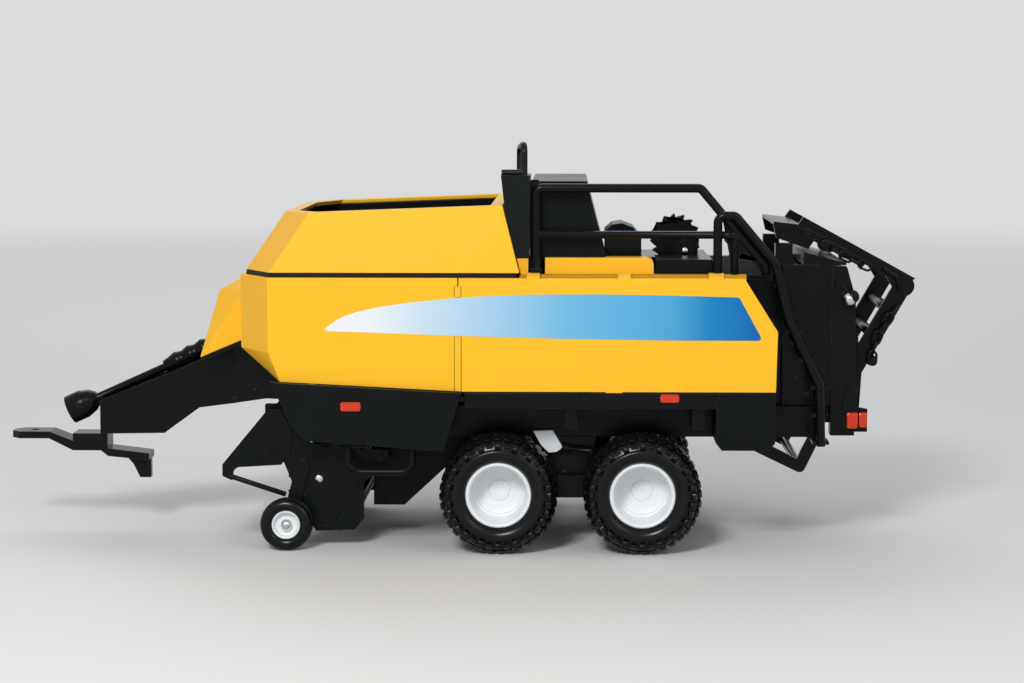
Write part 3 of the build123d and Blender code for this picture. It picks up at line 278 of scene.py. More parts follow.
class Effects:
    """Shader groups that several finishes share.

    GRAIN_HEIGHT and FLOW_HEIGHT are in metres. Blotches are coarser than the flow by BLOTCH_SHARE. EDGE_GAIN
    turns the bend of a rounded normal into a mask of edges, which the finishes lighten: partly as rubbed
    paint, partly as a painted highlight where light catches the rounding. RUB_SCALE and RUB_STOPS, DUST_SCALE
    and
    DUST_STOPS are the patches of those edges and of dust, as a scale of noise and the stops of its ramp.
    """

    GRAIN_HEIGHT = 0.00006
    FLOW_HEIGHT = 0.0005
    BLOTCH_SHARE = 0.6
    EDGE_SAMPLES = 4
    EDGE_GAIN = 9.0
    RUB_SCALE = 420.0
    RUB_STOPS = ((0.35, 0.0), (0.62, 1.0))
    DUST_SCALE = 160.0
    DUST_STOPS = ((0.3, 0.15), (0.75, 1.0))
    PATCH_ROUGH = 0.55

    def __init__(self) -> None:
        """Build each group once."""
        self.surface = self._surface()
        self.wear = self._wear()

    @staticmethod
    def _group(name: str, ins: dict[str, float | None], outs: dict[str, str]) -> tuple:
        """Start a new group.

        Args:
            name: The group's name.
            ins: Its inputs, each with a start value, or None for a vector.
            outs: Its outputs, each with the kind of its socket.

        Returns:
            The group with its input and output nodes.
        """
        tree = bpy.data.node_groups.new(name, "ShaderNodeTree")
        for label, start in ins.items():
            kind = "NodeSocketVector" if start is None else "NodeSocketFloat"
            socket = tree.interface.new_socket(label, in_out="INPUT", socket_type=kind)
            if start is not None:
                socket.default_value = start
        for label, kind in outs.items():
            tree.interface.new_socket(label, in_out="OUTPUT", socket_type=kind)
        return tree, tree.nodes.new("NodeGroupInput"), tree.nodes.new("NodeGroupOutput")

    def _patches(self, s: Sheet, at: Socket, scale: float, detail: float, stops: Sequence[Pair]) -> Socket:
        """Make a mask of soft patches.

        Args:
            s: The sheet that takes the nodes.
            at: The place on the piece.
            scale: How fine the patches are.
            detail: How ragged they are.
            stops: The ramp that sets their strength.

        Returns:
            The mask.
        """
        noise = s.add("TexNoise", Vector=at, Scale=scale, Detail=detail, Roughness=self.PATCH_ROUGH)
        return s.ramp(noise.outputs[0], stops)

    def _surface(self) -> bpy.types.NodeTree:
        """Make fine moulding grain over slow unevenness.

        Returns:
            A group that puts out a bumped normal, a mottling value and a roughness value.
        """
        tree, gin, gout = self._group(
            "Moulded surface",
            {"Position": None, "Grain Scale": 2600.0, "Grain Depth": 0.1, "Flow Scale": 90.0,
             "Flow Depth": 0.1, "Roughness": 0.4, "Roughness Play": 0.1},
            {"Normal": "NodeSocketVector", "Mottle": "NodeSocketFloat", "Roughness": "NodeSocketFloat"})
        s = Sheet(tree)
        at = gin.outputs["Position"]
        grain = s.noise(at, gin.outputs["Grain Scale"], detail=2.0)
        flow = s.noise(at, gin.outputs["Flow Scale"], detail=3.0)
        fine = s.add("Bump", Strength=gin.outputs["Grain Depth"], Distance=self.GRAIN_HEIGHT, Height=grain)
        slow = s.add("Bump", Strength=gin.outputs["Flow Depth"], Distance=self.FLOW_HEIGHT, Height=flow,
                     Normal=fine.outputs[0])
        blotch = s.noise(at, s.maths("MULTIPLY", gin.outputs["Flow Scale"], self.BLOTCH_SHARE), detail=4.0)
        spread = s.maths("MULTIPLY", s.maths("SUBTRACT", blotch, 0.5), gin.outputs["Roughness Play"])
        s.put(gout, "Normal", slow.outputs[0])
        s.put(gout, "Mottle", blotch)
        s.put(gout, "Roughness", s.maths("ADD", gin.outputs["Roughness"], spread, True))
        return tree

    def _wear(self) -> bpy.types.NodeTree:
        """Make edges lighter, partly as rubbed paint and partly as a painted highlight, and lay settled dust.

        Returns:
            A group that puts out the two masks.
        """
        tree, gin, gout = self._group(
            "Edge wear and dust",
            {"Position": None, "Edge Width": 0.00025, "Edge Amount": 0.3, "Dust Amount": 0.1},
            {"Edge": "NodeSocketFloat", "Dust": "NodeSocketFloat"})
        s = Sheet(tree)
        at = gin.outputs["Position"]
        flat = s.add("NewGeometry").outputs["Normal"]
        soft = s.add("Bevel", Radius=gin.outputs["Edge Width"])
        soft.samples = self.EDGE_SAMPLES
        bend = s.maths("SUBTRACT", 1.0, s.vector("DOT_PRODUCT", flat, soft.outputs[0]))
        edge = s.maths("MULTIPLY", bend, self.EDGE_GAIN, True)
        patchy = s.maths("MULTIPLY", edge, self._patches(s, at, self.RUB_SCALE, 4.0, self.RUB_STOPS))
        up = s.add("SeparateXYZ", Vector=flat).outputs["Z"]
        level = s.maths("POWER", s.maths("MAXIMUM", up, 0.0), 2.0)
        lying = s.maths("MULTIPLY", level, self._patches(s, at, self.DUST_SCALE, 5.0, self.DUST_STOPS))
        s.put(gout, "Edge", s.maths("MULTIPLY", patchy, gin.outputs["Edge Amount"], True))
        s.put(gout, "Dust", s.maths("MULTIPLY", lying, gin.outputs["Dust Amount"], True))
        return tree


# ------------------------------------------------------------------ tints: printed and two-coloured surfaces
# The band's front point and rear edge in metres, and its colours from the one to the other.
BAND_RUN = (0.034, -0.083)
BAND_COLOURS = (
    (0.0, (0.80, 0.82, 0.84)), (0.11, (0.77, 0.81, 0.84)), (0.23, (0.545, 0.69, 0.79)),
    (0.37, (0.387, 0.588, 0.79)), (0.555, (0.153, 0.465, 0.693)), (0.69, (0.105, 0.410, 0.679)),
    (0.80, (0.070, 0.350, 0.610)), (0.885, (0.008, 0.215, 0.505)), (1.0, (0.002, 0.125, 0.40)))
# The end column's yellow foot: its top, its rear edge in metres, and its colour.
FOOT_TOP, FOOT_REAR = 0.0795, -0.0214
FOOT_COLOUR = (0.80, 0.43, 0.02)
# The deck's yellow margins: their inner edge, the middle and half length of their run in metres, and
# # their colour, a yellow darkened by painted shade where the flat margin lies in shade.
MARGIN_INNER, MARGIN_MIDDLE, MARGIN_REACH = 0.0362, -0.0488, 0.0304
SHADED_MARGIN_COLOUR = (0.62, 0.33, 0.018)


def band_tint(s: Sheet, at: Socket, colour: Socket) -> Socket:
    """Print the band: pale at its front point, blue at its rear.

    Args:
        s: The sheet that takes the nodes.
        at: The place on the piece.
        colour: The bare colour, which the print covers; not used.

    Returns:
        The printed colour.
    """
    front, rear = BAND_RUN
    x = s.add("SeparateXYZ", Vector=at).outputs["X"]
    run = s.add("MapRange", Value=x, From_Min=front, From_Max=rear, To_Min=0.0, To_Max=1.0)
    return s.ramp(run.outputs[0], BAND_COLOURS)


def column_tint(s: Sheet, at: Socket, colour: Socket) -> Socket:
    """Paint the foot of the end column yellow, below the hood's rear corner.

    Args:
        s: The sheet that takes the nodes.
        at: The place on the piece.
        colour: The colour of the rest.

    Returns:
        The tinted colour.
    """
    parts = s.add("SeparateXYZ", Vector=at)
    low = s.maths("LESS_THAN", parts.outputs["Z"], FOOT_TOP)
    outer = s.maths("GREATER_THAN", parts.outputs["X"], FOOT_REAR)
    return s.mix(s.maths("MULTIPLY", low, outer), colour, FOOT_COLOUR)


def deck_tint(s: Sheet, at: Socket, colour: Socket) -> Socket:
    """Paint margins along both edges of the black deck yellow, darkened by painted shade, behind the hood.

    Args:
        s: The sheet that takes the nodes.
        at: The place on the piece.
        colour: The colour of the rest.

    Returns:
        The tinted colour.
    """
    parts = s.add("SeparateXYZ", Vector=at)
    side = s.maths("GREATER_THAN", s.maths("ABSOLUTE", parts.outputs["Y"]), MARGIN_INNER)
    rear = s.maths("COMPARE", parts.outputs["X"], MARGIN_MIDDLE)
    rear.node.inputs[2].default_value = MARGIN_REACH
    # The margins' yellow is darker than the body paint: painted shade.
    return s.mix(s.maths("MULTIPLY", side, rear), colour, SHADED_MARGIN_COLOUR)


# ------------------------------------------------------------------ finishes
@dataclass(frozen=True)
class Finish:
    """A surface finish: base colour, gloss, grain, lightened edges (rubbed paint and painted highlight) and
    dust. The edge width is in metres.
    """

    name: str
    slot: Slot | None
    colour: Colour
    roughness: float = 0.4
    metallic: float = 0.0
    coat: float = 0.0
    coat_roughness: float = 0.1
    specular: float = 0.5
    mottle: float = 0.06
    grain_scale: float = 2600.0
    grain: float = 0.1
    flow_scale: float = 90.0
    flow: float = 0.05
    roughness_play: float = 0.12
    edge_colour: Colour = (0.5, 0.5, 0.5)
    edge: float = 0.2
    edge_width: float = 0.00022
    dust: float = 0.05
    dust_colour: Colour = (0.42, 0.4, 0.36)
    dust_roughness: float = 0.5
    tint: Callable[[Sheet, Socket, Socket], Socket] | None = None

    def material(self, effects: Effects) -> bpy.types.Material:
        """Build the material.

        Args:
            effects: The shared shader groups.

        Returns:
            The new material.
        """
        made = bpy.data.materials.new(self.name)
        made.use_nodes = True
        tree = made.node_tree
        tree.nodes.clear()
        s = Sheet(tree)
        at = s.place()
        surface = s.group(effects.surface, Position=at, Grain_Scale=self.grain_scale, Grain_Depth=self.grain,
                          Flow_Scale=self.flow_scale, Flow_Depth=self.flow, Roughness=self.roughness,
                          Roughness_Play=self.roughness_play)
        wear = s.group(effects.wear, Position=at, Edge_Width=self.edge_width, Edge_Amount=self.edge,
                       Dust_Amount=self.dust)
        dusty = s.maths("MULTIPLY", wear.outputs["Dust"], self.dust_roughness)
        shader = s.add("BsdfPrincipled", Base_Color=self._base(s, at, surface, wear),
                       Roughness=s.maths("ADD", surface.outputs["Roughness"], dusty, True),
                       Normal=surface.outputs["Normal"], Metallic=self.metallic,
                       Specular_IOR_Level=self.specular, Coat_Weight=self.coat,
                       Coat_Roughness=self.coat_roughness)
        s.add("OutputMaterial", Surface=shader.outputs[0]).is_active_output = True
        return made

    def _base(self, s: Sheet, at: Socket, surface: bpy.types.Node, wear: bpy.types.Node) -> Socket:
        """Lay mottling, tint, lightened edges (rubbed paint and painted highlight) and dust over each other.

        Args:
            s: The sheet that takes the nodes.
            at: The place on the piece.
            surface: The moulded surface group.
            wear: The group of lightened edges (rubbed paint and painted highlight) and of dust.

        Returns:
            The base colour.
        """
        lighter = tuple(min(1.0, c * (1 + self.mottle)) for c in self.colour)
        darker = tuple(c * (1 - self.mottle) for c in self.colour)
        colour = s.mix(surface.outputs["Mottle"], darker, lighter)
        if self.tint:
            colour = self.tint(s, at, colour)
        # Edges take the edge colour: partly rubbed paint, partly a painted highlight on the rounding.
        colour = s.mix(wear.outputs["Edge"], colour, self.edge_colour)
        return s.mix(wear.outputs["Dust"], colour, self.dust_colour)


YELLOW: Colour = (0.95, 0.50, 0.020)
BLACK: Colour = (0.0042, 0.0056, 0.0058)
# Edge colour of the black plastics, lighter than their base: a painted highlight on their rounded edges.
PLASTIC_EDGE_SHEEN: Colour = (0.045, 0.05, 0.052)

# Each finish's edge colour lightens its rounded edges: partly rubbed paint, partly a painted highlight.
PAINT = Finish(
    "Yellow paint", Slot.YELLOW, YELLOW, roughness=0.36, coat=0.04, coat_roughness=0.12, specular=0.15,
    mottle=0.018, grain=0.05, flow_scale=60.0, flow=0.03, edge_colour=(0.99, 0.70, 0.16), edge=0.35,
    dust=0.03, dust_colour=(0.85, 0.72, 0.42))
PLASTIC = Finish(
    "Black plastic", Slot.BLACK_PLASTIC, BLACK, roughness=0.30, specular=0.10, mottle=0.2, grain=0.14,
    flow=0.05, edge_colour=PLASTIC_EDGE_SHEEN, edge=0.7, dust=0.02)
METAL = Finish(
    "Black enamel", Slot.BLACK_METAL, (0.0036, 0.0044, 0.0048), roughness=0.22, specular=0.12, mottle=0.2,
    grain=0.08, flow=0.06, edge_colour=(0.07, 0.075, 0.08), edge=0.7, dust=0.02)
DECK_PLASTIC = Finish(
    "Deck plastic", Slot.BLACK_PLASTIC, BLACK, roughness=0.85, specular=0.03, mottle=0.2, grain=0.2,
    edge_colour=PLASTIC_EDGE_SHEEN, edge=0.6, dust=0.03, tint=deck_tint)
COLUMN_PLASTIC = Finish(
    "Column plastic", Slot.BLACK_PLASTIC, BLACK, roughness=0.32, specular=0.16, mottle=0.2, grain=0.14,
    edge_colour=PLASTIC_EDGE_SHEEN, edge=0.7, dust=0.02, tint=column_tint)
RUBBER = Finish(
    "Tyre rubber", Slot.TYRE, (0.0026, 0.0032, 0.0033), roughness=0.22, specular=0.22, mottle=0.25,
    grain_scale=1500.0, grain=0.12, flow=0.06, edge_colour=(0.03, 0.03, 0.03), edge=0.5, dust=0.012)
SEAL = Finish(
    "Seal rubber", Slot.SEAL, (0.004, 0.0045, 0.005), roughness=0.5, specular=0.2, mottle=0.2, grain=0.2,
    edge=0.1, dust=0.02)
WHITE = Finish(
    "White plastic", Slot.WHITE, (0.80, 0.825, 0.84), roughness=0.34, coat=0.1, mottle=0.015, grain=0.06,
    flow=0.03, edge_colour=(0.94, 0.95, 0.96), edge=0.5, dust=0.03, dust_colour=(0.6, 0.6, 0.56))
STEEL = Finish(
    "Bright steel", Slot.STEEL, (0.66, 0.66, 0.67), roughness=0.22, metallic=1.0, mottle=0.05, grain=0.1,
    edge=0.1, dust=0.01)
# The lens's bright orange edge colour is a painted glint on its rounded edges.
LENS = Finish(
    "Orange lens", Slot.ORANGE, (0.60, 0.030, 0.004), roughness=0.16, coat=0.15, coat_roughness=0.05,
    specular=0.3, mottle=0.08, grain=0.05, flow_scale=700.0, flow=0.25, edge_colour=(0.95, 0.20, 0.06),
    edge=0.5, dust=0.0)
BAND = Finish(
    "Printed band", Slot.WHITE, (0.5, 0.6, 0.8), roughness=0.24, coat=0.06, coat_roughness=0.08,
    specular=0.18, mottle=0.01, grain=0.02, flow=0.02, edge_colour=(0.8, 0.85, 0.9), edge=0.1, dust=0.0,
    tint=band_tint)
FLOOR = Finish(
    "Pale floor", None, (0.80, 0.80, 0.79), roughness=0.7, mottle=0.015, grain=0.05, flow_scale=8.0,
    flow=0.02, edge=0.0, dust=0.0)


class Paintbox:
    """All materials, each made once."""

    def __init__(self) -> None:
        """Build the shared groups."""
        self.effects = Effects()
        self.made: dict[str, bpy.types.Material] = {}

    def get(self, finish: Finish) -> bpy.types.Material:
        """Return the material of a finish, made when it is first asked for.

        Args:
            finish: The finish.

        Returns:
            Its material.
        """
        if finish.name not in self.made:
            self.made[finish.name] = finish.material(self.effects)
        return self.made[finish.name]


# ------------------------------------------------------------------ mesh helpers
@dataclass(frozen=True)
class Plate:
    """A flat plate: its outline (x, z), and how far from the machine's middle its two faces lie."""

    outline: tuple[Pair, ...]
    inner: float
    outer: float


def cad_box(node: str) -> tuple[Vector, Vector]:
    """Find a CAD node's place.

    Args:
        node: The node's name.

    Returns:
        Its lowest and highest corners in millimetres.
    """
    lo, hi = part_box(node)
    return lo / MM, hi / MM


def rectangle(x0: float, x1: float, z0: float, z1: float) -> tuple[Pair, ...]:
    """Return the outline of an upright rectangle."""
    return (x0, z0), (x1, z0), (x1, z1), (x0, z1)


def both_ways(outline: Sequence[Pair]) -> list[Pair]:
    """Return an outline (height, radius), and after it the same points at negative heights."""
    return [*outline, *((-height, radius) for height, radius in reversed(outline))]


class Shaper:
    """Collects shapes in one mesh, in millimetres, and turns it into a piece.

    POINT is the radius below which a ring is one point. WASHER is an outline as shares of a bolt's height
    and radius. BOLT_TURN makes the heads' turns differ from place to place. BEVEL_ANGLE is the smallest
    angle in degrees that a bevel rounds.
    """

    POINT = 1e-6
    WASHER = ((0.0, 0.0), (0.0, 1.3), (0.25, 1.3), (0.3, 1.05))
    WASHER_STEPS = 18
    BOLT_TURN = 7.3
    BEVEL_ANGLE = 35.0

    def __init__(self, paints: Paintbox) -> None:
        """Start an empty mesh."""
        self.paints = paints
        self.bm = bmesh.new()

    @staticmethod
    def _frame(at: Sequence[float], axis: Sequence[float], turn: float = 0.0) -> Matrix:
        """Set up a placement whose Z lies along an axis.

        Args:
            at: Its origin.
            axis: The direction of its Z.
            turn: Its turn about that axis, in radians.

        Returns:
            The placement.
        """
        spin = Vector(axis).to_track_quat("Z", "Y").to_matrix().to_4x4()
        return Matrix.Translation(Vector(at)) @ spin @ Matrix.Rotation(turn, 4, "Z")

    def _ring(self, frame: Matrix, height: float, radius: float, steps: int) -> list[Vert]:
        """Add a ring of points round the Z of a placement, or one point where the radius is nought.

        Args:
            frame: The placement.
            height: The ring's height.
            radius: Its radius.
            steps: Its number of points.

        Returns:
            The points.
        """
        if radius < self.POINT:
            return [self.bm.verts.new(frame @ Vector((0, 0, height)))]
        turns = [2 * math.pi * i / steps for i in range(steps)]
        return [self.bm.verts.new(frame @ Vector((radius * math.cos(a), radius * math.sin(a), height)))
                for a in turns]

    def _skin(self, a: Sequence[Vert], b: Sequence[Vert], shift: int = 0) -> None:
        """Join two rings that have as many points.

        Args:
            a: First ring.
            b: Second ring.
            shift: How many points the second ring is turned by.
        """
        n = len(a)
        for i in range(n):
            j = (i + 1) % n
            self.bm.faces.new((a[i], a[j], b[(j + shift) % n], b[(i + shift) % n]))

    def lathe(self, profile: Sequence[Pair], at: Sequence[float], axis: Sequence[float], steps: int,
              closed: bool = False) -> None:
        """Turn a profile about an axis.

        Args:
            profile: Points (height along the axis, radius).
            at: Origin of the profile.
            axis: Direction of the heights.
            steps: Number of steps round.
            closed: Whether the last point joins the first.
        """
        frame = self._frame(at, axis)
        rings = [self._ring(frame, height, radius, steps) for height, radius in profile]
        pairs = list(zip(rings, rings[1:])) + ([(rings[-1], rings[0])] if closed else [])
        for a, b in pairs:
            for i in range(steps):
                j = (i + 1) % steps
                around = (a[i % len(a)], b[i % len(b)], b[j % len(b)], a[j % len(a)])
                corners = tuple(dict.fromkeys(around))
                if len(corners) > 2:
                    self.bm.faces.new(corners)

    def bolt(self, at: Sequence[float], axis: Sequence[float], radius: float, height: float,
             head: Head) -> None:
        """Add a bolt's head, with a washer under a hexagon.

        Args:
            at: Middle of its seat.
            axis: Direction that it stands in.
            radius: Its radius.
            height: Its height.
            head: Its shape.
        """
        sides, outline = head.value
        if head is Head.HEXAGON:
            self.lathe([(height * up, radius * out) for up, out in self.WASHER], at, axis, self.WASHER_STEPS)
        frame = self._frame(at, axis, (sum(at) * self.BOLT_TURN) % 1.0)
        rings = [self._ring(frame, height * up, radius * out, sides) for up, out in outline]
        for a, b in zip(rings, rings[1:]):
            self._skin(a, b)
        self.bm.faces.new(rings[-1])

    def link(self, path: Sequence[Vector], radius: float, sides: int) -> None:
        """Add a round bar bent into a closed ring.

        Args:
            path: Points of its centre line.
            radius: Radius of the bar.
            sides: Number of points round the bar.
        """
        rows = []
        up = (path[1] - path[-1]).normalized().orthogonal().normalized()
        for i, point in enumerate(path):
            along = (path[(i + 1) % len(path)] - path[i - 1]).normalized()
            up = (up - along * up.dot(along)).normalized()
            side = along.cross(up)
            rows.append([self.bm.verts.new(point + (up * math.cos(a) + side * math.sin(a)) * radius)
                         for a in (2 * math.pi * k / sides for k in range(sides))])
        for a, b in zip(rows, rows[1:]):
            self._skin(a, b)
        last, first = rows[-1], rows[0]
        self._skin(last, first, min(range(sides), key=lambda k: (last[0].co - first[k].co).length))

    def loft(self, rows: Sequence[Sequence[Vector]]) -> None:
        """Add a solid through rows of points, closed at both ends.

        Args:
            rows: The rows, each with as many points.
        """
        rings = [[self.bm.verts.new(point) for point in row] for row in rows]
        for a, b in zip(rings, rings[1:]):
            self._skin(a, b)
        self.bm.faces.new(rings[0])
        self.bm.faces.new(list(reversed(rings[-1])))

    def _slab(self, first: Sequence[Sequence[float]], second: Sequence[Sequence[float]]) -> None:
        """Add a slab between two outlines.

        Args:
            first: Points of one face.
            second: Points of the other face, as many.
        """
        a = [self.bm.verts.new(point) for point in first]
        b = [self.bm.verts.new(point) for point in second]
        self.bm.faces.new(a)
        self.bm.faces.new(list(reversed(b)))
        for i in range(len(a)):
            j = (i + 1) % len(a)
            self.bm.faces.new((a[i], b[i], b[j], a[j]))

    def prism(self, outline: Sequence[Pair], y0: float, y1: float) -> None:
        """Add a plate with an outline (x, z) between two values of Y."""
        self._slab([(x, y0, z) for x, z in outline], [(x, y1, z) for x, z in outline])

    def bar(self, outline: Sequence[Pair], x0: float, x1: float) -> None:
        """Add a folded strip with an outline (y, z) between two values of X."""
        self._slab([(x0, y, z) for y, z in outline], [(x1, y, z) for y, z in outline])

    def plate(self, plate: Plate, side: Side) -> None:
        """Add a plate on one side of the machine."""
        self.prism(plate.outline, plate.inner * side.value, plate.outer * side.value)

    def split(self, corners: int = 4) -> None:
        """Cut faces of more than so many corners into triangles, so that a hollow outline stays true."""
        bmesh.ops.triangulate(self.bm, faces=[f for f in self.bm.faces if len(f.verts) > corners])

    def make(self, name: str, finish: Finish) -> bpy.types.Object:
        """Turn the mesh into an object in metres.

        Args:
            name: The object's name.
            finish: Its finish.

        Returns:
            The new object.
        """
        bmesh.ops.recalc_face_normals(self.bm, faces=self.bm.faces)
        bmesh.ops.scale(self.bm, vec=(MM, MM, MM), verts=self.bm.verts)
        mesh = bpy.data.meshes.new(name)
        self.bm.to_mesh(mesh)
        self.bm.free()
        mesh.materials.append(self.paints.get(finish))
        obj = bpy.data.objects.new(name, mesh)
        bpy.context.scene.collection.objects.link(obj)
        return obj

    def piece(self, name: str, body: str, finish: Finish, smooth: float,
              bevel: float = 0.0) -> bpy.types.Object:
        """Turn the mesh into a piece that rides on a body.

        Args:
            name: The piece's name.
            body: The CAD body that it rides on.
            finish: Its finish, which also gives its slot.
            smooth: Largest angle in degrees that is shaded smooth.
            bevel: Width of a bevel on sharp edges.

        Returns:
            The new object.
        """
        obj = self.make(name, finish)
        if bevel:
            round_edges(obj, bevel, self.BEVEL_ANGLE)
        obj.data.shade_smooth()
        obj.data.set_sharp_from_angle(angle=math.radians(smooth))
        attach(obj, body)
        log.info("piece %s on %s: %d faces", name, body, len(obj.data.polygons))
        return obj


def round_edges(obj: bpy.types.Object, width: float, angle: float) -> None:
    """Round an object's sharp edges.

    Args:
        obj: The object.
        width: Width of the rounding.
        angle: Smallest angle in degrees that is rounded.
    """
    mod = obj.modifiers.new("Bevel", "BEVEL")
    mod.width = width * MM
    mod.segments = 2
    mod.limit_method = "ANGLE"
    mod.angle_limit = math.radians(angle)


# ------------------------------------------------------------------ sub-assemblies
@dataclass
class CadDress:
    """Materials and small edge rounding for the CAD's own nodes.

    A node takes the finish of its slot unless special names another. Points nearer than weld are joined.
    soft gives wider roundings, and crisp names the nodes of fine teeth, bands and links that stay sharp.
    """

    paints: Paintbox
    frame: dict
    rounding: float = 0.12
    round_angle: float = 40.0
    weld: float = 0.004
    plain: tuple[Finish, ...] = (PAINT, PLASTIC, METAL, SEAL, RUBBER, WHITE, LENS, STEEL)
    special: dict[str, Finish] = field(default_factory=lambda: {
        "deck": DECK_PLASTIC, "hood_end_column": COLUMN_PLASTIC, "latch_pins": METAL})
    soft: dict[str, float] = field(default_factory=lambda: {
        "lamp_lenses": 0.5, "upper_hood": 0.25, "front_cowl": 0.2, "rear_door_left": 0.3,
        "rear_door_right": 0.3, "lower_shields": 0.25, "side_sills": 0.2})
    crisp: tuple[str, ...] = ("pickup_reel", "stripper_bands", "chain_lower", "chain_upper", "star_wheel")

    def dress(self) -> None:
        """Give each node its finish and round its edges."""
        slots = {part["node"]: part["material_slot"] for part in self.frame["record"]["subparts"]}
        finishes = {finish.slot.value: finish for finish in self.plain}
        for name, obj in self.frame["nodes"].items():
            finish = self.special.get(name, finishes[slots[name]])
            obj.data.materials.clear()
            obj.data.materials.append(self.paints.get(finish))
            obj.modifiers.new("Weld", "WELD").merge_threshold = self.weld * MM
            if name not in self.crisp:
                round_edges(obj, self.soft.get(name, self.rounding), self.round_angle)
        log.info("dressed %d nodes", len(self.frame["nodes"]))


@dataclass
class RoadWheel:
    """A tyre with lugs on a deep dished rim, in place of the plain solids.

    Each row of foot, shoulder and over is one station of a block's path: how far in from the sidewall's
    plane and down from the crown it lies, the outward direction there along the axle and away from it,
    and its turn round the axle in radians. pad_shape is a block's section, as shares of its half width
    and its rise. A block's ends have only the share pad_end of its rise, and it goes down into the carcass
    by pad_root. Each kind of pad has its half width in radians and its share of the rise.
    """

    paints: Paintbox
    axle: Axle
    side: Side
    lugs: int = 18
    rise: float = 0.85
    rim_radius: float = 8.9
    dish: float = 9.6
    steps: int = 120
    stagger: float = 0.25
    foot: tuple[float, ...] = (0.58, 2.6, 1.0, 0.12, 0.0)
    shoulder: tuple[tuple[float, ...], ...] = (
        (0.68, 2.15, 1.0, 0.2, 0.0), (0.95, 1.5, 0.93, 0.36, 0.0), (1.35, 0.92, 0.8, 0.6, 0.004))
    over: tuple[tuple[float, ...], ...] = (
        (1.85, 0.55, 0.6, 0.8, 0.014), (2.7, 0.24, 0.3, 0.95, 0.03), (3.9, 0.08, 0.06, 1.0, 0.055))
    pad_shape: tuple[Pair, ...] = ((-0.96, 0.72), (-0.7, 1.0), (0.7, 1.0), (0.96, 0.72))
    pad_end: float = 0.45
    pad_root: float = 0.25
    shoulder_pad: Pair = (0.066, 1.0)
    lug_pad: Pair = (0.060, 0.97)
    chevron_pad: Pair = (0.075, 0.95)
    name: str = field(init=False)
    body: str = field(init=False)
    centre: Vector = field(init=False)
    radius: float = field(init=False)
    half: float = field(init=False)

    def __post_init__(self) -> None:
        """Take the wheel's name, place and size from the CAD tyre."""
        self.name = f"{self.axle.value}_{self.side.tag}"
        self.body = f"wheel_{self.name}"
        lo, hi = cad_box(f"tyre_{self.name}")
        self.centre = (lo + hi) / 2
        self.radius = (hi.z - lo.z) / 2
        self.half = (hi.y - lo.y) / 2

    def build(self) -> None:
        """Build tyre, tread and rim."""
        self._tyre()
        self._tread()
        self._rim()

    def _tyre(self) -> None:
        """Build the carcass: a smooth sidewall up to a moulded ring, then the shoulder and the crown."""
        edge, bead, crown = self.half, self.rim_radius, self.radius - self.rise
        outline = [
            (edge - 1.7, bead + 0.03), (edge - 1.15, bead + 0.35), (edge - 0.6, bead + 0.85),
            (edge - 0.22, bead + 1.6), (edge - 0.04, bead + 2.4), (edge - 0.06, bead + 3.0),
            (edge - 0.2, bead + 3.4), (edge - 0.4, bead + 3.52), (edge - 0.5, bead + 3.66),
            (edge - 0.62, crown - 2.55), (edge - 0.9, crown - 1.75), (edge - 1.55, crown - 0.85),
            (edge - 2.7, crown - 0.28), (edge - 4.2, crown - 0.06), (1.6, crown)]
        s = Shaper(self.paints)
        s.lathe(both_ways(outline), self.centre, (0, self.side.value, 0), self.steps)
        tyre = s.piece(f"tyre_body_{self.name}", self.body, RUBBER, smooth=50)
        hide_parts(f"tyre_{self.name}")

    def _pad(self, s: Shaper, path: Sequence[Sequence[float]], size: Pair) -> None:
        """Lay one rounded rubber block on the carcass.

        Args:
            s: The mesh that takes it.
            path: Stations (height, radius, lean in height, lean in radius, angle).
            size: Its half width as an angle, and its share of the rise.
        """
        half_width, share = size
        rows = []
        for k, (height, radius, lean_h, lean_r, angle) in enumerate(path):
            full = self.rise * share * (self.pad_end if k in (0, len(path) - 1) else 1.0)
            top = ((across, full * up) for across, up in self.pad_shape)
            row = []
            for across, up in ((-1.0, -self.pad_root), *top, (1.0, -self.pad_root)):
                away, turn = radius + lean_r * up, angle + across * half_width
                row.append((self.centre.x + away * math.sin(turn), self.centre.y + height + lean_h * up,
                            self.centre.z + away * math.cos(turn)))
            rows.append(row)
        s.loft(rows)

    def _path(self, stations: Sequence[Sequence[float]], sign: int, start: float) -> list[tuple[float, ...]]:
        """Place a row of stations on one shoulder.

        Args:
            stations: Rows of a tread table.
            sign: Which shoulder, as a sign of the height.
            start: The angle that they start from.

        Returns:
            The stations for a pad.
        """
        crown = self.radius - self.rise
        return [((self.half - inward) * sign, crown - down, lean_h * sign, lean_r, start + turn)
                for inward, down, lean_h, lean_r, turn in stations]

    @staticmethod
    def _flat(stations: Sequence[tuple[float, float, float]], sign: int,
              start: float) -> list[tuple[float, ...]]:
        """Place stations that face straight out.

        Args:
            stations: Each one's height, radius and turn.
            sign: Which half of the tread, as a sign of the height.
            start: The angle that they start from.

        Returns:
            The stations for a pad.
        """
        return [(height * sign, radius, 0.0, 1.0, start + turn) for height, radius, turn in stations]

    def _tread(self) -> None:
        """Build square shoulder blocks, long lugs over the shoulder and a chevron row on the crown."""
        s = Shaper(self.paints)
        edge, crown, pitch = self.half, self.radius - self.rise, 2 * math.pi / self.lugs
        for i in range(self.lugs):
            for sign in (1, -1):
                start = (i + (self.stagger if sign < 0 else 0.0)) * pitch
                for k in (0, 1):
                    at = start + k * pitch / 2
                    block = self.shoulder if k else (self.foot, *self.shoulder)
                    for stations in (block, self.over):
                        self._pad(s, self._path(stations, sign, at), self.shoulder_pad)
                    lug = ((edge - 4.4, crown - 0.05, 0.078), (2.2, crown, 0.135))
                    self._pad(s, self._flat(lug, sign, at), self.lug_pad)
                chevron = ((1.75, crown, 0.17), (0.2, crown, 0.24))
                self._pad(s, self._flat(chevron, sign, start), self.chevron_pad)
        s.piece(f"tread_{self.name}", self.body, RUBBER, smooth=50)

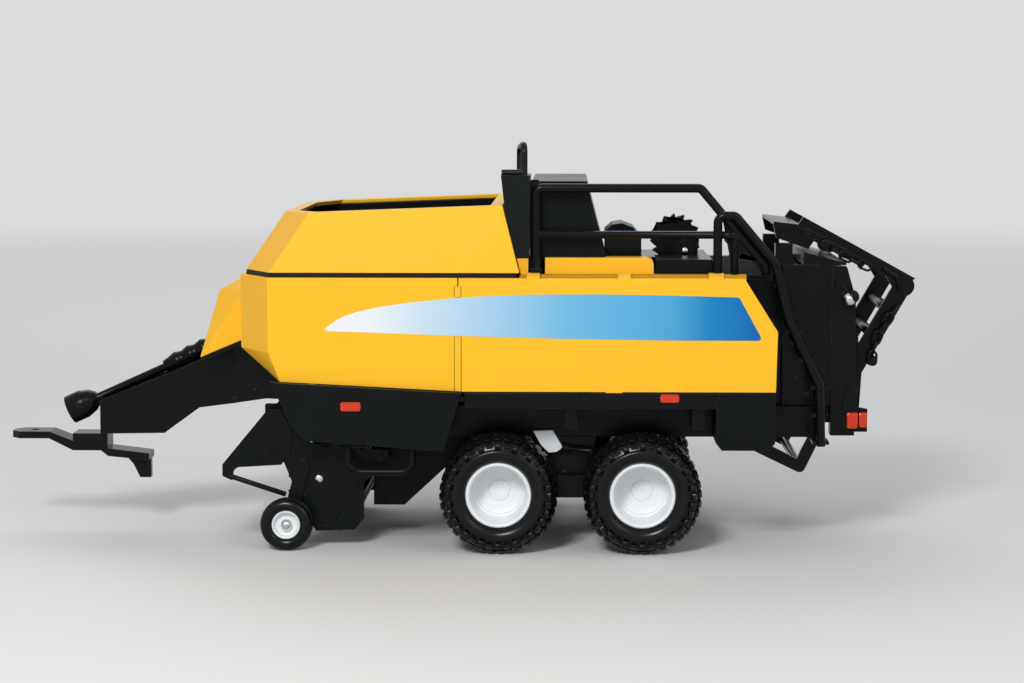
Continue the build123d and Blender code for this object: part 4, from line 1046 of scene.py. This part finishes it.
    def _rim(self) -> None:
        """Build the rim: bored back, rolled flange, deep smooth cone, and a flat disc with a low hub pad."""
        rim, out = self.rim_radius, cad_box(f"rim_{self.name}")[1].y - self.centre.y
        floor = out - self.dish
        back = [
            (floor - 0.6, 0.0), (floor - 0.6, 1.7), (-out, 1.7), (-out, 2.6), (floor - 1.2, 3.0),
            (floor - 1.2, rim - 2.0), (-out, rim - 1.2), (-out, rim)]
        flange = [
            (out - 0.5, rim), (out - 0.2, rim - 0.08), (out - 0.03, rim - 0.28), (out, rim - 0.55),
            (out - 0.08, rim - 0.85), (out - 0.35, rim - 1.12)]
        cone = [
            (out - 1.0, rim - 1.26), (out - 3.6, rim - 1.42), (out - 6.4, rim - 1.6),
            (floor + 1.5, rim - 1.75), (floor + 1.1, rim - 1.85), (floor + 0.95, rim - 2.2),
            (floor + 0.8, rim - 2.36)]
        disc = [
            (floor + 0.2, rim - 2.5), (floor, rim - 2.8), (floor, 2.9), (floor + 0.3, 2.72),
            (floor + 0.34, 2.4), (floor + 0.34, 0.0)]
        s = Shaper(self.paints)
        s.lathe(back + flange + cone + disc, self.centre, (0, self.side.value, 0), self.steps)
        piece = s.piece(f"wheel_rim_{self.name}", self.body, WHITE, smooth=40)
        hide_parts(f"rim_{self.name}")


@dataclass
class GaugeWheel:
    """A small pickup wheel: soft black tyre, white disc and a bright hub cap."""

    paints: Paintbox
    side: Side
    rim_radius: float = 3.9
    tyre_steps: int = 96
    disc_steps: int = 72
    cap_steps: int = 48
    body: str = field(init=False)
    centre: Vector = field(init=False)
    radius: float = field(init=False)
    half: float = field(init=False)
    out: float = field(init=False)

    def __post_init__(self) -> None:
        """Take the wheel's place and size from the CAD tyre and rim."""
        self.body = f"gauge_wheel_{self.side.tag}"
        lo, hi = cad_box(f"gauge_tyre_{self.side.tag}")
        self.centre = (lo + hi) / 2
        self.radius = (hi.z - lo.z) / 2
        self.half = (hi.y - lo.y) / 2
        self.out = cad_box(f"gauge_rim_{self.side.tag}")[1].y - self.centre.y

    def build(self) -> None:
        """Build tyre, disc and hub cap."""
        self._tyre()
        self._disc()
        self._cap()

    def _turn(self, profile: Sequence[Pair], steps: int, closed: bool = False) -> Shaper:
        """Turn a profile about the wheel's axis.

        Args:
            profile: Points (height along the axis, radius).
            steps: Number of steps round.
            closed: Whether the last point joins the first.

        Returns:
            The mesh.
        """
        s = Shaper(self.paints)
        s.lathe(profile, self.centre, (0, self.side.value, 0), steps, closed)
        return s

    def _tyre(self) -> None:
        """Build the tyre, with fine grooves round its tread."""
        edge, rim, radius = self.half, self.rim_radius, self.radius
        outline = [
            (edge - 0.8, rim + 0.02), (edge - 0.35, rim + 0.3), (edge - 0.05, rim + 1.0), (edge, rim + 1.6),
            (edge - 0.2, radius - 1.0), (edge - 0.55, radius - 0.45), (edge - 1.1, radius - 0.12),
            (edge - 1.5, radius - 0.02), (edge - 1.65, radius - 0.2), (edge - 1.8, radius - 0.2),
            (edge - 1.95, radius), (0.25, radius), (0.12, radius - 0.18)]
        s = self._turn(both_ways(outline), self.tyre_steps)
        tyre = s.piece(f"gauge_wheel_tyre_{self.side.tag}", self.body, RUBBER, smooth=40)
        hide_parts(f"gauge_tyre_{self.side.tag}")

    def _disc(self) -> None:
        """Build the disc: rolled flange and a shallow dish with a hole for the hub."""
        out, rim = self.out, self.rim_radius
        outline = [
            (-out, 1.05), (-out, rim), (out - 0.3, rim), (out - 0.05, rim - 0.12), (out, rim - 0.35),
            (out - 0.25, rim - 0.6), (out - 1.5, rim - 0.95), (out - 1.75, 2.4), (out - 1.7, 1.95),
            (out - 1.7, 1.05)]
        s = self._turn(outline, self.disc_steps, closed=True)
        disc = s.piece(f"gauge_wheel_disc_{self.side.tag}", self.body, WHITE, smooth=40)
        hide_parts(f"gauge_rim_{self.side.tag}")

    def _cap(self) -> None:
        """Build the domed hub cap."""
        out = self.out
        outline = [
            (out - 1.72, 1.5), (out - 0.9, 1.5), (out - 0.35, 1.38), (out + 0.1, 1.08), (out + 0.38, 0.65),
            (out + 0.5, 0.25), (out + 0.52, 0.0)]
        s = self._turn(outline, self.cap_steps)
        s.piece(f"gauge_wheel_cap_{self.side.tag}", self.body, STEEL, smooth=50)


@dataclass
class Chain:
    """Round-bar chain links beside the chute, in place of the plain ones; alternate links lie on edge.

    The chain starts at a pin (x, z). It sets off at a heading in degrees, and each link turns from the one
    before it by its value in turns. It lies at y on both sides. bar is the bar's diameter, pin_radius the
    pin's radius, and play the gap between parts that hang in each other.
    """

    paints: Paintbox
    node: str
    body: str
    pin: Pair
    heading: float
    turns: tuple[float, ...]
    y: float
    length: float = 4.4
    width: float = 2.8
    bar: float = 0.7
    pin_radius: float = 0.55
    play: float = 0.05
    arc_steps: int = 8
    bar_sides: int = 10

    def build(self) -> None:
        """Build both sides' links as one piece."""
        s = Shaper(self.paints)
        pitch = self.length - 2 * self.bar - 2 * self.play
        back = pitch / 2 - (self.length / 2 - self.bar - self.pin_radius - 2 * self.play)
        for side in Side:
            a = math.radians(self.heading + self.turns[0])
            at = Vector((self.pin[0] - back * math.cos(a), self.y * side.value,
                         self.pin[1] - back * math.sin(a)))
            a = math.radians(self.heading)
            for i, turn in enumerate(self.turns):
                a += math.radians(turn)
                run = Vector((math.cos(a), 0, math.sin(a)))
                across = Vector((0, 1, 0)) if i % 2 else Vector((-math.sin(a), 0, math.cos(a)))
                self._link(s, at + run * (pitch / 2), run, across)
                at += run * pitch
        piece = s.piece(f"{self.node}_links", self.body, METAL, smooth=60)
        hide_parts(self.node)

    def _link(self, s: Shaper, centre: Vector, run: Vector, across: Vector) -> None:
        """Add one link with straight sides and round ends.

        Args:
            s: The mesh that takes it.
            centre: Its middle.
            run: Direction of its length.
            across: Direction of its width.
        """
        radius = (self.width - self.bar) / 2
        straight = (self.length - self.width) / 2
        path = []
        for end in (1, -1):
            for k in range(self.arc_steps + 1):
                t = -math.pi / 2 + math.pi * k / self.arc_steps
                path.append(centre + run * end * (straight + radius * math.cos(t))
                            + across * end * radius * math.sin(t))
        s.link(path, self.bar / 2, self.bar_sides)


@dataclass(frozen=True)
class BoltRow:
    """Like fasteners on both sides of one CAD node, at places (x, z)."""

    node: str
    places: tuple[Pair, ...]
    radius: float
    head: Head = Head.DOME
    finish: Finish = METAL


@dataclass
class Fasteners:
    """Bolt heads, rivets and pins, each seated on the outer face of its CAD node.

    A head is sunk a little into its seat, and proud is its height as a share of its radius. A seat whose
    normal leans too far from Y, measured by squareness, is no seat.
    """

    paints: Paintbox
    frame: dict
    outside: float = 90.0
    squareness: float = 0.7
    sink: float = 0.05
    proud: float = 0.7
    rows: tuple[BoltRow, ...] = (
        BoltRow("pickup_frame", ((36.2, 18.9),), 1.1, finish=STEEL),
        BoltRow("knotter_frame", ((-63.8, 80.1),), 0.95, finish=STEEL),
        BoltRow("pickup_frame", (
            (45.2, 26.3), (41.6, 26.4), (38.7, 26.3), (34.9, 26.3), (43.0, 23.2), (44.2, 19.6), (35.2, 21.2),
            (34.4, 17.1), (38.3, 18.7), (29.6, 9.0), (30.6, 7.4), (34.9, 7.0), (40.2, 13.9),
            (27.8, 18.9)), 0.42),
        BoltRow("bogie_carrier", ((-30.0, 25.1), (-32.4, 25.1), (-30.7, 19.6)), 0.55, Head.HEXAGON),
        BoltRow("tension_frame", (
            (-92.6, 61.4), (-92.8, 55.1), (-96.4, 49.7), (-98.3, 46.9), (-94.2, 45.5), (-97.0, 41.4),
            (-100.6, 40.9)), 0.5, Head.HEXAGON),
        BoltRow("rear_brackets", ((-109.7, 42.7), (-109.6, 40.3)), 0.45),
        BoltRow("chute_upper", ((-97.7, 85.2), (-99.3, 83.6), (-107.3, 79.6), (-112.3, 77.7)), 0.42),
        BoltRow("drawbar", ((62.0, 38.0), (56.0, 40.5)), 0.6, Head.HEXAGON),
        BoltRow("side_sills", tuple((-12.0 * i, 42.3) for i in range(1, 7)), 0.32),
        BoltRow("lower_shields", ((14.0, 42.0), (20.0, 42.0)), 0.32),
    )

    def build(self) -> None:
        """Seat the fasteners and gather them in one piece for each body and finish."""
        bodies = self.frame["record"]["behaviour"]["bodies"]
        homes = {node: body for body, nodes in bodies.items() for node in nodes}
        groups: dict[tuple[str, Finish], Shaper] = {}
        for row in self.rows:
            key = homes[row.node], row.finish
            if key not in groups:
                groups[key] = Shaper(self.paints)
            self._seat(groups[key], row)
        for (body, finish), s in groups.items():
            s.piece(f"fasteners_{body}_{'bright' if finish is STEEL else 'black'}", body, finish, smooth=40)

    def _seat(self, s: Shaper, row: BoltRow) -> None:
        """Seat a row's heads on both sides, each where a line from outside meets its node.

        Args:
            s: The mesh that takes them.
            row: The row.
        """
        tree = self._tree(row.node)
        for x, z in row.places:
            for side in Side:
                out = Vector((0, side.value, 0))
                spot, normal, _, _ = tree.ray_cast(Vector((x, self.outside * side.value, z)), -out)
                if spot is None or abs(normal.y) < self.squareness:
                    log.warning("no seat for a bolt on %s at %s %s", row.node, x, z)
                    continue
                s.bolt(spot - out * self.sink, out, row.radius, row.radius * self.proud, row.head)

    def _tree(self, node: str) -> BVHTree:
        """Prepare a CAD node for finding its faces.

        Args:
            node: The node's name.

        Returns:
            Its faces, in millimetres.
        """
        mesh = self.frame["nodes"][node].data
        return BVHTree.FromPolygons([v.co / MM for v in mesh.vertices],
                                    [tuple(p.vertices) for p in mesh.polygons])


@dataclass
class BodyTrim:
    """Small fittings of the body: hinge tabs, door tabs, cover strips, nose shelf, handrail post and gusset.

    The outlines tab_fold and tab_cover are (y, z). The pairs tab_runs, strip and post are values of X, and
    strip_runs of Z. The pairs called faces say how far out a plate's two faces lie. clamps are (x, z),
    clamp_size is (radius, height), and post_corner is how far the post's top corners are cut (x, z).
    """

    paints: Paintbox
    tab_runs: tuple[Pair, ...] = ((-24.1, -20.6), (-48.4, -45.0), (-73.2, -69.2))
    tab_fold: tuple[Pair, ...] = (
        (37.4, 75.15), (37.7, 75.65), (41.5, 75.65), (43.04, 74.75), (43.04, 74.3), (42.62, 74.3),
        (41.4, 75.15))
    tab_cover: tuple[Pair, ...] = ((42.0, 72.1), (42.0, 74.5), (43.005, 74.5), (43.005, 72.1))
    door_tab: Plate = Plate(((-46.3, 43.72), (-41.7, 43.72), (-42.1, 44.95), (-45.9, 44.95)), 41.9, 43.14)
    strip: Pair = (-3.0, -1.35)
    strip_runs: tuple[Pair, ...] = ((44.1, 58.9), (69.4, 72.3))
    strip_faces: Pair = (43.0, 43.16)
    # Margin and faces of the dark sheet under each cover strip, whose rims show as painted shadow lines.
    seal_margin: float = 0.16
    seal_faces: Pair = (42.95, 43.03)
    shelf: Plate = Plate(
        ((70.0, 50.75), (69.6, 49.6), (57.0, 54.9), (55.0, 54.9), (55.0, 56.6), (57.6, 56.4)), 13.0, 21.8)
    gusset: Plate = Plate((
        (-72.9, 90.1), (-75.3, 90.6), (-88.2, 77.8), (-87.4, 75.3), (-83.5, 75.3), (-79.9, 80.4),
        (-78.5, 81.1), (-77.6, 80.5), (-77.3, 79.5), (-75.0, 79.4), (-74.8, 82.8), (-73.4, 84.3),
        (-73.4, 85.0), (-74.9, 85.1), (-74.0, 87.2), (-73.1, 88.8)), 37.1, 38.0)
    post: Pair = (-24.1, -21.3)
    post_top: float = 99.9
    post_faces: Pair = (35.4, 36.3)
    post_corner: Pair = (0.5, 0.6)
    clamps: tuple[Pair, ...] = ((-22.1, 83.2), (-22.1, 92.0))
    clamp_size: Pair = (0.55, 0.4)
    clamp_sink: float = 0.05

    def build(self) -> None:
        """Build each fitting."""
        self._hinge_tabs()
        self._door_tabs()
        self._door_strips()
        self._nose_shelf()
        self._post()
        self._gusset()

    def _hinge_tabs(self) -> None:
        """Fold hinge tabs over the deck's edge in front of the knuckles, with a cover below each."""
        tabs, covers = Shaper(self.paints), Shaper(self.paints)
        for side in Side:
            for x0, x1 in self.tab_runs:
                tabs.bar([(y * side.value, z) for y, z in self.tab_fold], x0, x1)
                covers.bar([(y * side.value, z) for y, z in self.tab_cover], x0, x1)
        tabs.piece("hinge_tabs", "chassis", PAINT, smooth=30, bevel=0.1)
        covers.piece("hinge_tab_covers", "chassis", PAINT, smooth=30)

    def _door_tabs(self) -> None:
        """Set a finger tab at the lower edge of each door."""
        for side in Side:
            s = Shaper(self.paints)
            s.plate(self.door_tab, side)
            s.piece(f"door_tab_{side.tag}", f"door_{side.tag}", PAINT, smooth=30, bevel=0.12)

    def _door_strips(self) -> None:
        """Lay a folded cover strip on each door's front edge, above and below the printed band, on a dark
        rubber sheet a little wider than it, whose bare rims are painted shadow lines along the strip's edges.
        """
        x0, x1 = self.strip
        for side in Side:
            strips, shadow_lines = Shaper(self.paints), Shaper(self.paints)
            for z0, z1 in self.strip_runs:
                strips.plate(Plate(rectangle(x0, x1, z0, z1), *self.strip_faces), side)
                # The dark sheet is wider than the strip, so that its rims show as painted shadow lines.
                wide = rectangle(x0 - self.seal_margin, x1 + self.seal_margin, z0, z1)
                shadow_lines.plate(Plate(wide, *self.seal_faces), side)
            strips.piece(f"door_cover_strip_{side.tag}", f"door_{side.tag}", PAINT, smooth=30, bevel=0.05)
            shadow_lines.piece(f"door_strip_seal_{side.tag}", f"door_{side.tag}", SEAL, smooth=30)

    def _nose_shelf(self) -> None:
        """Build the black shelf that the nose stands on, closing the gap above the drawbar."""
        s = Shaper(self.paints)
        for side in Side:
            s.plate(self.shelf, side)
        s.piece("nose_shelf", "chassis", METAL, smooth=30, bevel=0.12)

    def _post(self) -> None:
        """Build the flat post behind the front end of the handrail, with its two clamp bolts."""
        s = Shaper(self.paints)
        x0, x1 = self.post
        foot, top = cad_box("deck")[1].z, self.post_top
        cut, crest = self.post_corner
        outline = [
            (x0, foot), (x1, foot), (x1, top), (x1 - cut, top + crest), (x0 + cut, top + crest), (x0, top)]
        s.prism(outline, *self.post_faces)
        for x, z in self.clamps:
            seat = (x, self.post_faces[1] - self.clamp_sink, z)
            s.bolt(seat, (0, 1, 0), *self.clamp_size, Head.HEXAGON)
        s.piece("handrail_post", "chassis", METAL, smooth=30, bevel=0.14)

    def _gusset(self) -> None:
        """Build the web between the handrail's falling tubes and its rear post."""
        s = Shaper(self.paints)
        s.plate(self.gusset, Side.LEFT)
        s.split()
        s.piece("handrail_gusset", "chassis", METAL, smooth=30, bevel=0.12)


@dataclass
class Nose:
    """The front cover over the drawbar: flat front, flat sides and corners cut off in a long taper.

    front_top and front_foot are (x, z); rear has the heights of the rear edge's foot, shoulder and top.
    """

    paints: Paintbox
    half: float = 22.0
    top_half: float = 13.0
    front_top: Pair = (65.8, 69.0)
    front_foot: Pair = (70.3, 50.7)
    rear: tuple[float, float, float] = (56.0, 69.5, 73.3)
    overlap: float = 0.3

    def build(self) -> None:
        """Build the cover around the place of its CAD node."""
        s = Shaper(self.paints)
        back = cad_box("nose_cowl")[0].x - self.overlap
        foot, shoulder, top = self.rear
        left, right = (
            [s.bm.verts.new(point) for point in (
                (back, self.half * side.value, foot), (back, self.half * side.value, shoulder),
                (back, self.top_half * side.value, top),
                (self.front_top[0], self.top_half * side.value, self.front_top[1]),
                (self.front_foot[0], self.half * side.value, self.front_foot[1]))] for side in Side)
        for low, corner, crest, brow, toe in (left, right):
            for face in ((low, corner, toe), (corner, brow, toe), (corner, crest, brow)):
                s.bm.faces.new(face)
        for i, j in ((2, 3), (3, 4), (4, 0)):
            s.bm.faces.new((left[i], left[j], right[j], right[i]))
        s.bm.faces.new((*left[:3], *reversed(right[:3])))
        nose = s.piece("nose_cover", "chassis", PAINT, smooth=10, bevel=0.3)
        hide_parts("nose_cowl")


@dataclass
class Mechanism:
    """Parts that need rounder or finer shapes: latch balls, star wheel, pickup cheeks and brake rods.

    Each row of tooth is (share of the pitch, drop below the tip). The rods' profile is (length, radius).
    """

    paints: Paintbox
    ball: Pair = (-108.1, 67.8)
    ball_radius: float = 1.95
    ball_sink: float = 0.05
    ball_steps: int = 40
    teeth: int = 16
    tooth: tuple[Pair, ...] = ((0.0, 1.5), (0.3, 1.05), (0.6, 0.45), (0.86, 0.0), (0.95, 0.3), (0.98, 1.3))
    cheek: Plate = Plate((
        (47.8, 37.6), (45.4, 37.6), (38.9, 29.0), (33.0, 27.3), (33.0, 26.6), (44.3, 25.2), (46.6, 22.6),
        (58.6, 21.9), (60.0, 23.0), (49.6, 33.0)), 33.5, 34.15)
    rod_at: tuple[float, float, float] = (-30.0, 28.7, 26.9)
    rod_axis: tuple[float, float, float] = (-1.0, 0.0, -0.12)
    rod_steps: int = 20
    rod: tuple[Pair, ...] = (
        (0.0, 0.0), (0.0, 0.75), (1.4, 0.85), (2.0, 0.6), (6.6, 0.6), (7.2, 0.85), (8.0, 0.85), (8.3, 0.5),
        (8.3, 0.0))

    def build(self) -> None:
        """Build every part."""
        self._latch_balls()
        self._star_wheel()
        self._cheeks()
        self._brake_rods()

    def _latch_balls(self) -> None:
        """Build the bright balls at the ends of the latch arms."""
        lo, hi = cad_box("latch_pins")
        s = Shaper(self.paints)
        for side in Side:
            end = hi.y if side is Side.LEFT else lo.y
            y = end - side.value * (self.ball_radius - self.ball_sink)
            arc = [(self.ball_radius * math.sin(t), self.ball_radius * math.cos(t))
                   for t in (math.radians(d) for d in range(-90, 91, 10))]
            s.lathe(arc, (self.ball[0], y, self.ball[1]), (0, 1, 0), self.ball_steps)
        s.piece("latch_balls", "chassis", STEEL, smooth=60)

    def _star_wheel(self) -> None:
        """Build the star wheel: broad saw teeth that lean one way."""
        lo, hi = cad_box("star_wheel")
        x, z, tip = (lo.x + hi.x) / 2, (lo.z + hi.z) / 2, (hi.z - lo.z) / 2
        outline = []
        for i in range(self.teeth):
            for share, drop in self.tooth:
                a = -2 * math.pi * (i + share) / self.teeth
                outline.append((x + (tip - drop) * math.sin(a), z + (tip - drop) * math.cos(a)))
        s = Shaper(self.paints)
        s.prism(outline, lo.y, hi.y)
        s.split()
        star = s.piece("star_wheel_saw", "star_wheel", METAL, smooth=25, bevel=0.08)
        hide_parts("star_wheel")

    def _cheeks(self) -> None:
        """Build the side cheeks between the windguard's arms and the pickup's side plates."""
        s = Shaper(self.paints)
        for side in Side:
            s.plate(self.cheek, side)
        s.split()
        s.piece("windguard_cheeks", "pickup", PLASTIC, smooth=30, bevel=0.1)

    def _brake_rods(self) -> None:
        """Build the short shaft between each spring seat and its rear tyre."""
        s = Shaper(self.paints)
        x, y, z = self.rod_at
        for side in Side:
            s.lathe(self.rod, (x, y * side.value, z), self.rod_axis, self.rod_steps)
        s.piece("brake_rods", "chassis", METAL, smooth=40)


@dataclass
class Band:
    """The printed band along both sides, cut where the door begins. Its outline is (x, z)."""

    paints: Paintbox
    sink: float = 0.02
    stand_off: float = 0.06
    overlap: float = 0.3
    outline: tuple[Pair, ...] = (
        (33.4, 60.75), (32.6, 61.5), (30.9, 62.8), (28.3, 64.2), (24.4, 65.5), (18.4, 66.8), (10.0, 68.0),
        (0.0, 69.0), (-10.0, 69.7), (-22.0, 70.1), (-40.0, 70.2), (-60.0, 69.9), (-76.6, 69.5), (-77.4, 69.2),
        (-83.0, 59.0), (-83.1, 58.3), (-82.4, 57.9), (-60.0, 57.9), (-30.0, 58.3), (0.0, 59.1), (20.0, 59.8),
        (32.2, 60.2), (33.2, 60.4))

    def build(self) -> None:
        """Build four stickers, one on each panel."""
        for side in Side:
            door = f"door_{side.tag}"
            lo, hi = cad_box(f"rear_{door}")
            face = hi.y if side is Side.LEFT else lo.y
            edge = hi.x + self.overlap
            back, front = face - side.value * self.sink, face + side.value * self.stand_off
            for name, body, keep in (("cowl", "chassis", 1), (door, door, -1)):
                s = Shaper(self.paints)
                s.prism(self._clip(edge, keep), back, front)
                s.split(corners=3)
                s.piece(f"band_{name}_{side.tag}", body, BAND, smooth=20)

    def _clip(self, edge: float, keep: int) -> list[Pair]:
        """Cut the outline at an edge.

        Args:
            edge: The edge's X.
            keep: 1 for the part in front of it, -1 for the part behind it.

        Returns:
            The outline of that part.
        """
        part = []
        for (x0, z0), (x1, z1) in zip(self.outline, self.outline[1:] + self.outline[:1]):
            if (x0 - edge) * keep >= 0:
                part.append((x0, z0))
            if (x0 - edge) * (x1 - edge) < 0:
                t = (edge - x0) / (x1 - x0)
                part.append((edge, z0 + t * (z1 - z0)))
        return part


# ------------------------------------------------------------------ studio
@dataclass(frozen=True)
class Lamp:
    """A soft square lamp: its name, place and size in metres, and its power in watts."""

    name: str
    at: tuple[float, float, float]
    size: float
    power: float


@dataclass
class Studio:
    """Floor, lamps, world and camera. aim, fade and clip are in metres, yaw and pitch in radians."""

    paints: Paintbox
    lamps: tuple[Lamp, ...] = (
        Lamp("key", (0.17, 0.80, 0.55), 0.20, 5.2),
        Lamp("fill", (-0.62, 0.72, 0.55), 0.5, 1.3),
        Lamp("back", (0.1, -0.8, 0.8), 0.7, 2.8))
    aim: tuple[float, float, float] = (0.0, 0.0, 0.05)
    room: Colour = (0.70, 0.71, 0.72)
    room_light: float = 0.35
    light_colour: Colour = (0.94, 0.96, 1.0)
    floor_rings: tuple[float, ...] = (0.0, 500.0, 1500.0, 6000.0)
    floor_steps: int = 96
    fade: Pair = (0.35, 1.6)
    eye: tuple[float, float, float] = (-33.7, 697.0, 124.5)
    yaw: float = -0.026
    pitch: float = 0.102
    lens: float = 86.5
    sensor: float = 36.0
    clip: Pair = (0.01, 20.0)

    def build(self) -> None:
        """Set the stage."""
        self._floor()
        self._world()
        for lamp in self.lamps:
            self._lamp(lamp)
        self._camera()

    def _floor(self) -> None:
        """Build a wide round floor that fades into the pale room."""
        s = Shaper(self.paints)
        s.lathe([(0.0, radius) for radius in self.floor_rings], (0, 0, 0), (0, 0, 1), self.floor_steps)
        floor = s.make("floor", FLOOR)
        self._fade(self.paints.get(FLOOR))

    def _fade(self, material: bpy.types.Material) -> None:
        """Let the far floor take the room's pale tone, so that no horizon shows.

        Args:
            material: The floor's material.
        """
        s = Sheet(material.node_tree)
        out = s.tree.nodes["Material Output"]
        shader = out.inputs["Surface"].links[0].from_socket
        away = s.vector("LENGTH", s.place())
        near, full = self.fade
        far = s.add("MapRange", Value=away, From_Min=near, From_Max=full, To_Min=0.0, To_Max=1.0)
        glow = s.add("Emission", Color=(*self.room, 1), Strength=1.0)
        share = s.maths("MULTIPLY", far.outputs[0], self._seen(s))
        s.put(out, "Surface", s.blend(share, shader, glow.outputs[0]))

    @staticmethod
    def _seen(s: Sheet) -> Socket:
        """Find the rays that show the room: camera, glossy and transmission rays.

        Args:
            s: The sheet that takes the nodes.

        Returns:
            1 for those rays, 0 for others.
        """
        path = s.add("LightPath").outputs
        gloss = s.maths("MAXIMUM", path["Is Glossy Ray"], path["Is Transmission Ray"])
        return s.maths("MAXIMUM", path["Is Camera Ray"], gloss)

    def _world(self) -> None:
        """Light everything softly from all round, and show one pale tone."""
        world = bpy.data.worlds.new("Soft room")
        world.use_nodes = True
        world.node_tree.nodes.clear()
        s = Sheet(world.node_tree)
        light = s.add("Background", Color=(*self.light_colour, 1), Strength=self.room_light)
        shown = s.add("Background", Color=(*self.room, 1), Strength=1.0)
        s.add("OutputWorld", Surface=s.blend(self._seen(s), light.outputs[0], shown.outputs[0]))
        bpy.context.scene.world = world

    def _lamp(self, lamp: Lamp) -> None:
        """Hang a lamp and aim it at the model.

        Args:
            lamp: Its name, place, size and power.
        """
        data = bpy.data.lights.new(lamp.name, "AREA")
        data.shape, data.size, data.energy = "SQUARE", lamp.size, lamp.power
        obj = bpy.data.objects.new(lamp.name, data)
        obj.location = lamp.at
        obj.rotation_euler = (Vector(self.aim) - Vector(lamp.at)).to_track_quat("-Z", "Y").to_euler()
        bpy.context.scene.collection.objects.link(obj)

    def _camera(self) -> None:
        """Place the camera on the left side, a little above the model."""
        data = bpy.data.cameras.new("camera")
        data.lens, data.sensor_width = self.lens, self.sensor
        data.clip_start, data.clip_end = self.clip
        camera = bpy.data.objects.new("camera", data)
        look = Vector((-math.sin(self.yaw) * math.cos(self.pitch), -math.cos(self.yaw) * math.cos(self.pitch),
                       -math.sin(self.pitch)))
        camera.location = Vector(self.eye) * MM
        camera.rotation_euler = look.to_track_quat("-Z", "Y").to_euler()
        bpy.context.scene.collection.objects.link(camera)
        bpy.context.scene.camera = camera


def corners(box: tuple[Vector, Vector]) -> list[list[float]]:
    """Return a box as plain lists."""
    return [list(corner) for corner in box]


def main() -> None:
    """Build and dress every sub-assembly."""
    logging.basicConfig(level=logging.INFO, format="%(name)s: %(message)s")
    bpy.ops.wm.read_factory_settings(use_empty=True)
    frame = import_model()
    bpy.context.scene.view_settings.view_transform = "Standard"
    paints = Paintbox()
    CadDress(paints, frame).dress()
    for side in Side:
        for axle in Axle:
            RoadWheel(paints, axle, side).build()
        GaugeWheel(paints, side).build()
    Chain(paints, "chain_upper", "chute_upper", pin=(-101.662, 82.570), heading=212.5,
          turns=(0, -1, -3, -4, -4), y=24.35).build()
    Chain(paints, "chain_lower", "chute_lower", pin=(-115.146, 50.320), heading=92.0,
          turns=(0, 10, 12, 6, 4, 2), y=23.15).build()
    Fasteners(paints, frame).build()
    for assembly in (BodyTrim, Nose, Mechanism, Band, Studio):
        assembly(paints).build()


if __name__ == "__main__":
    main()
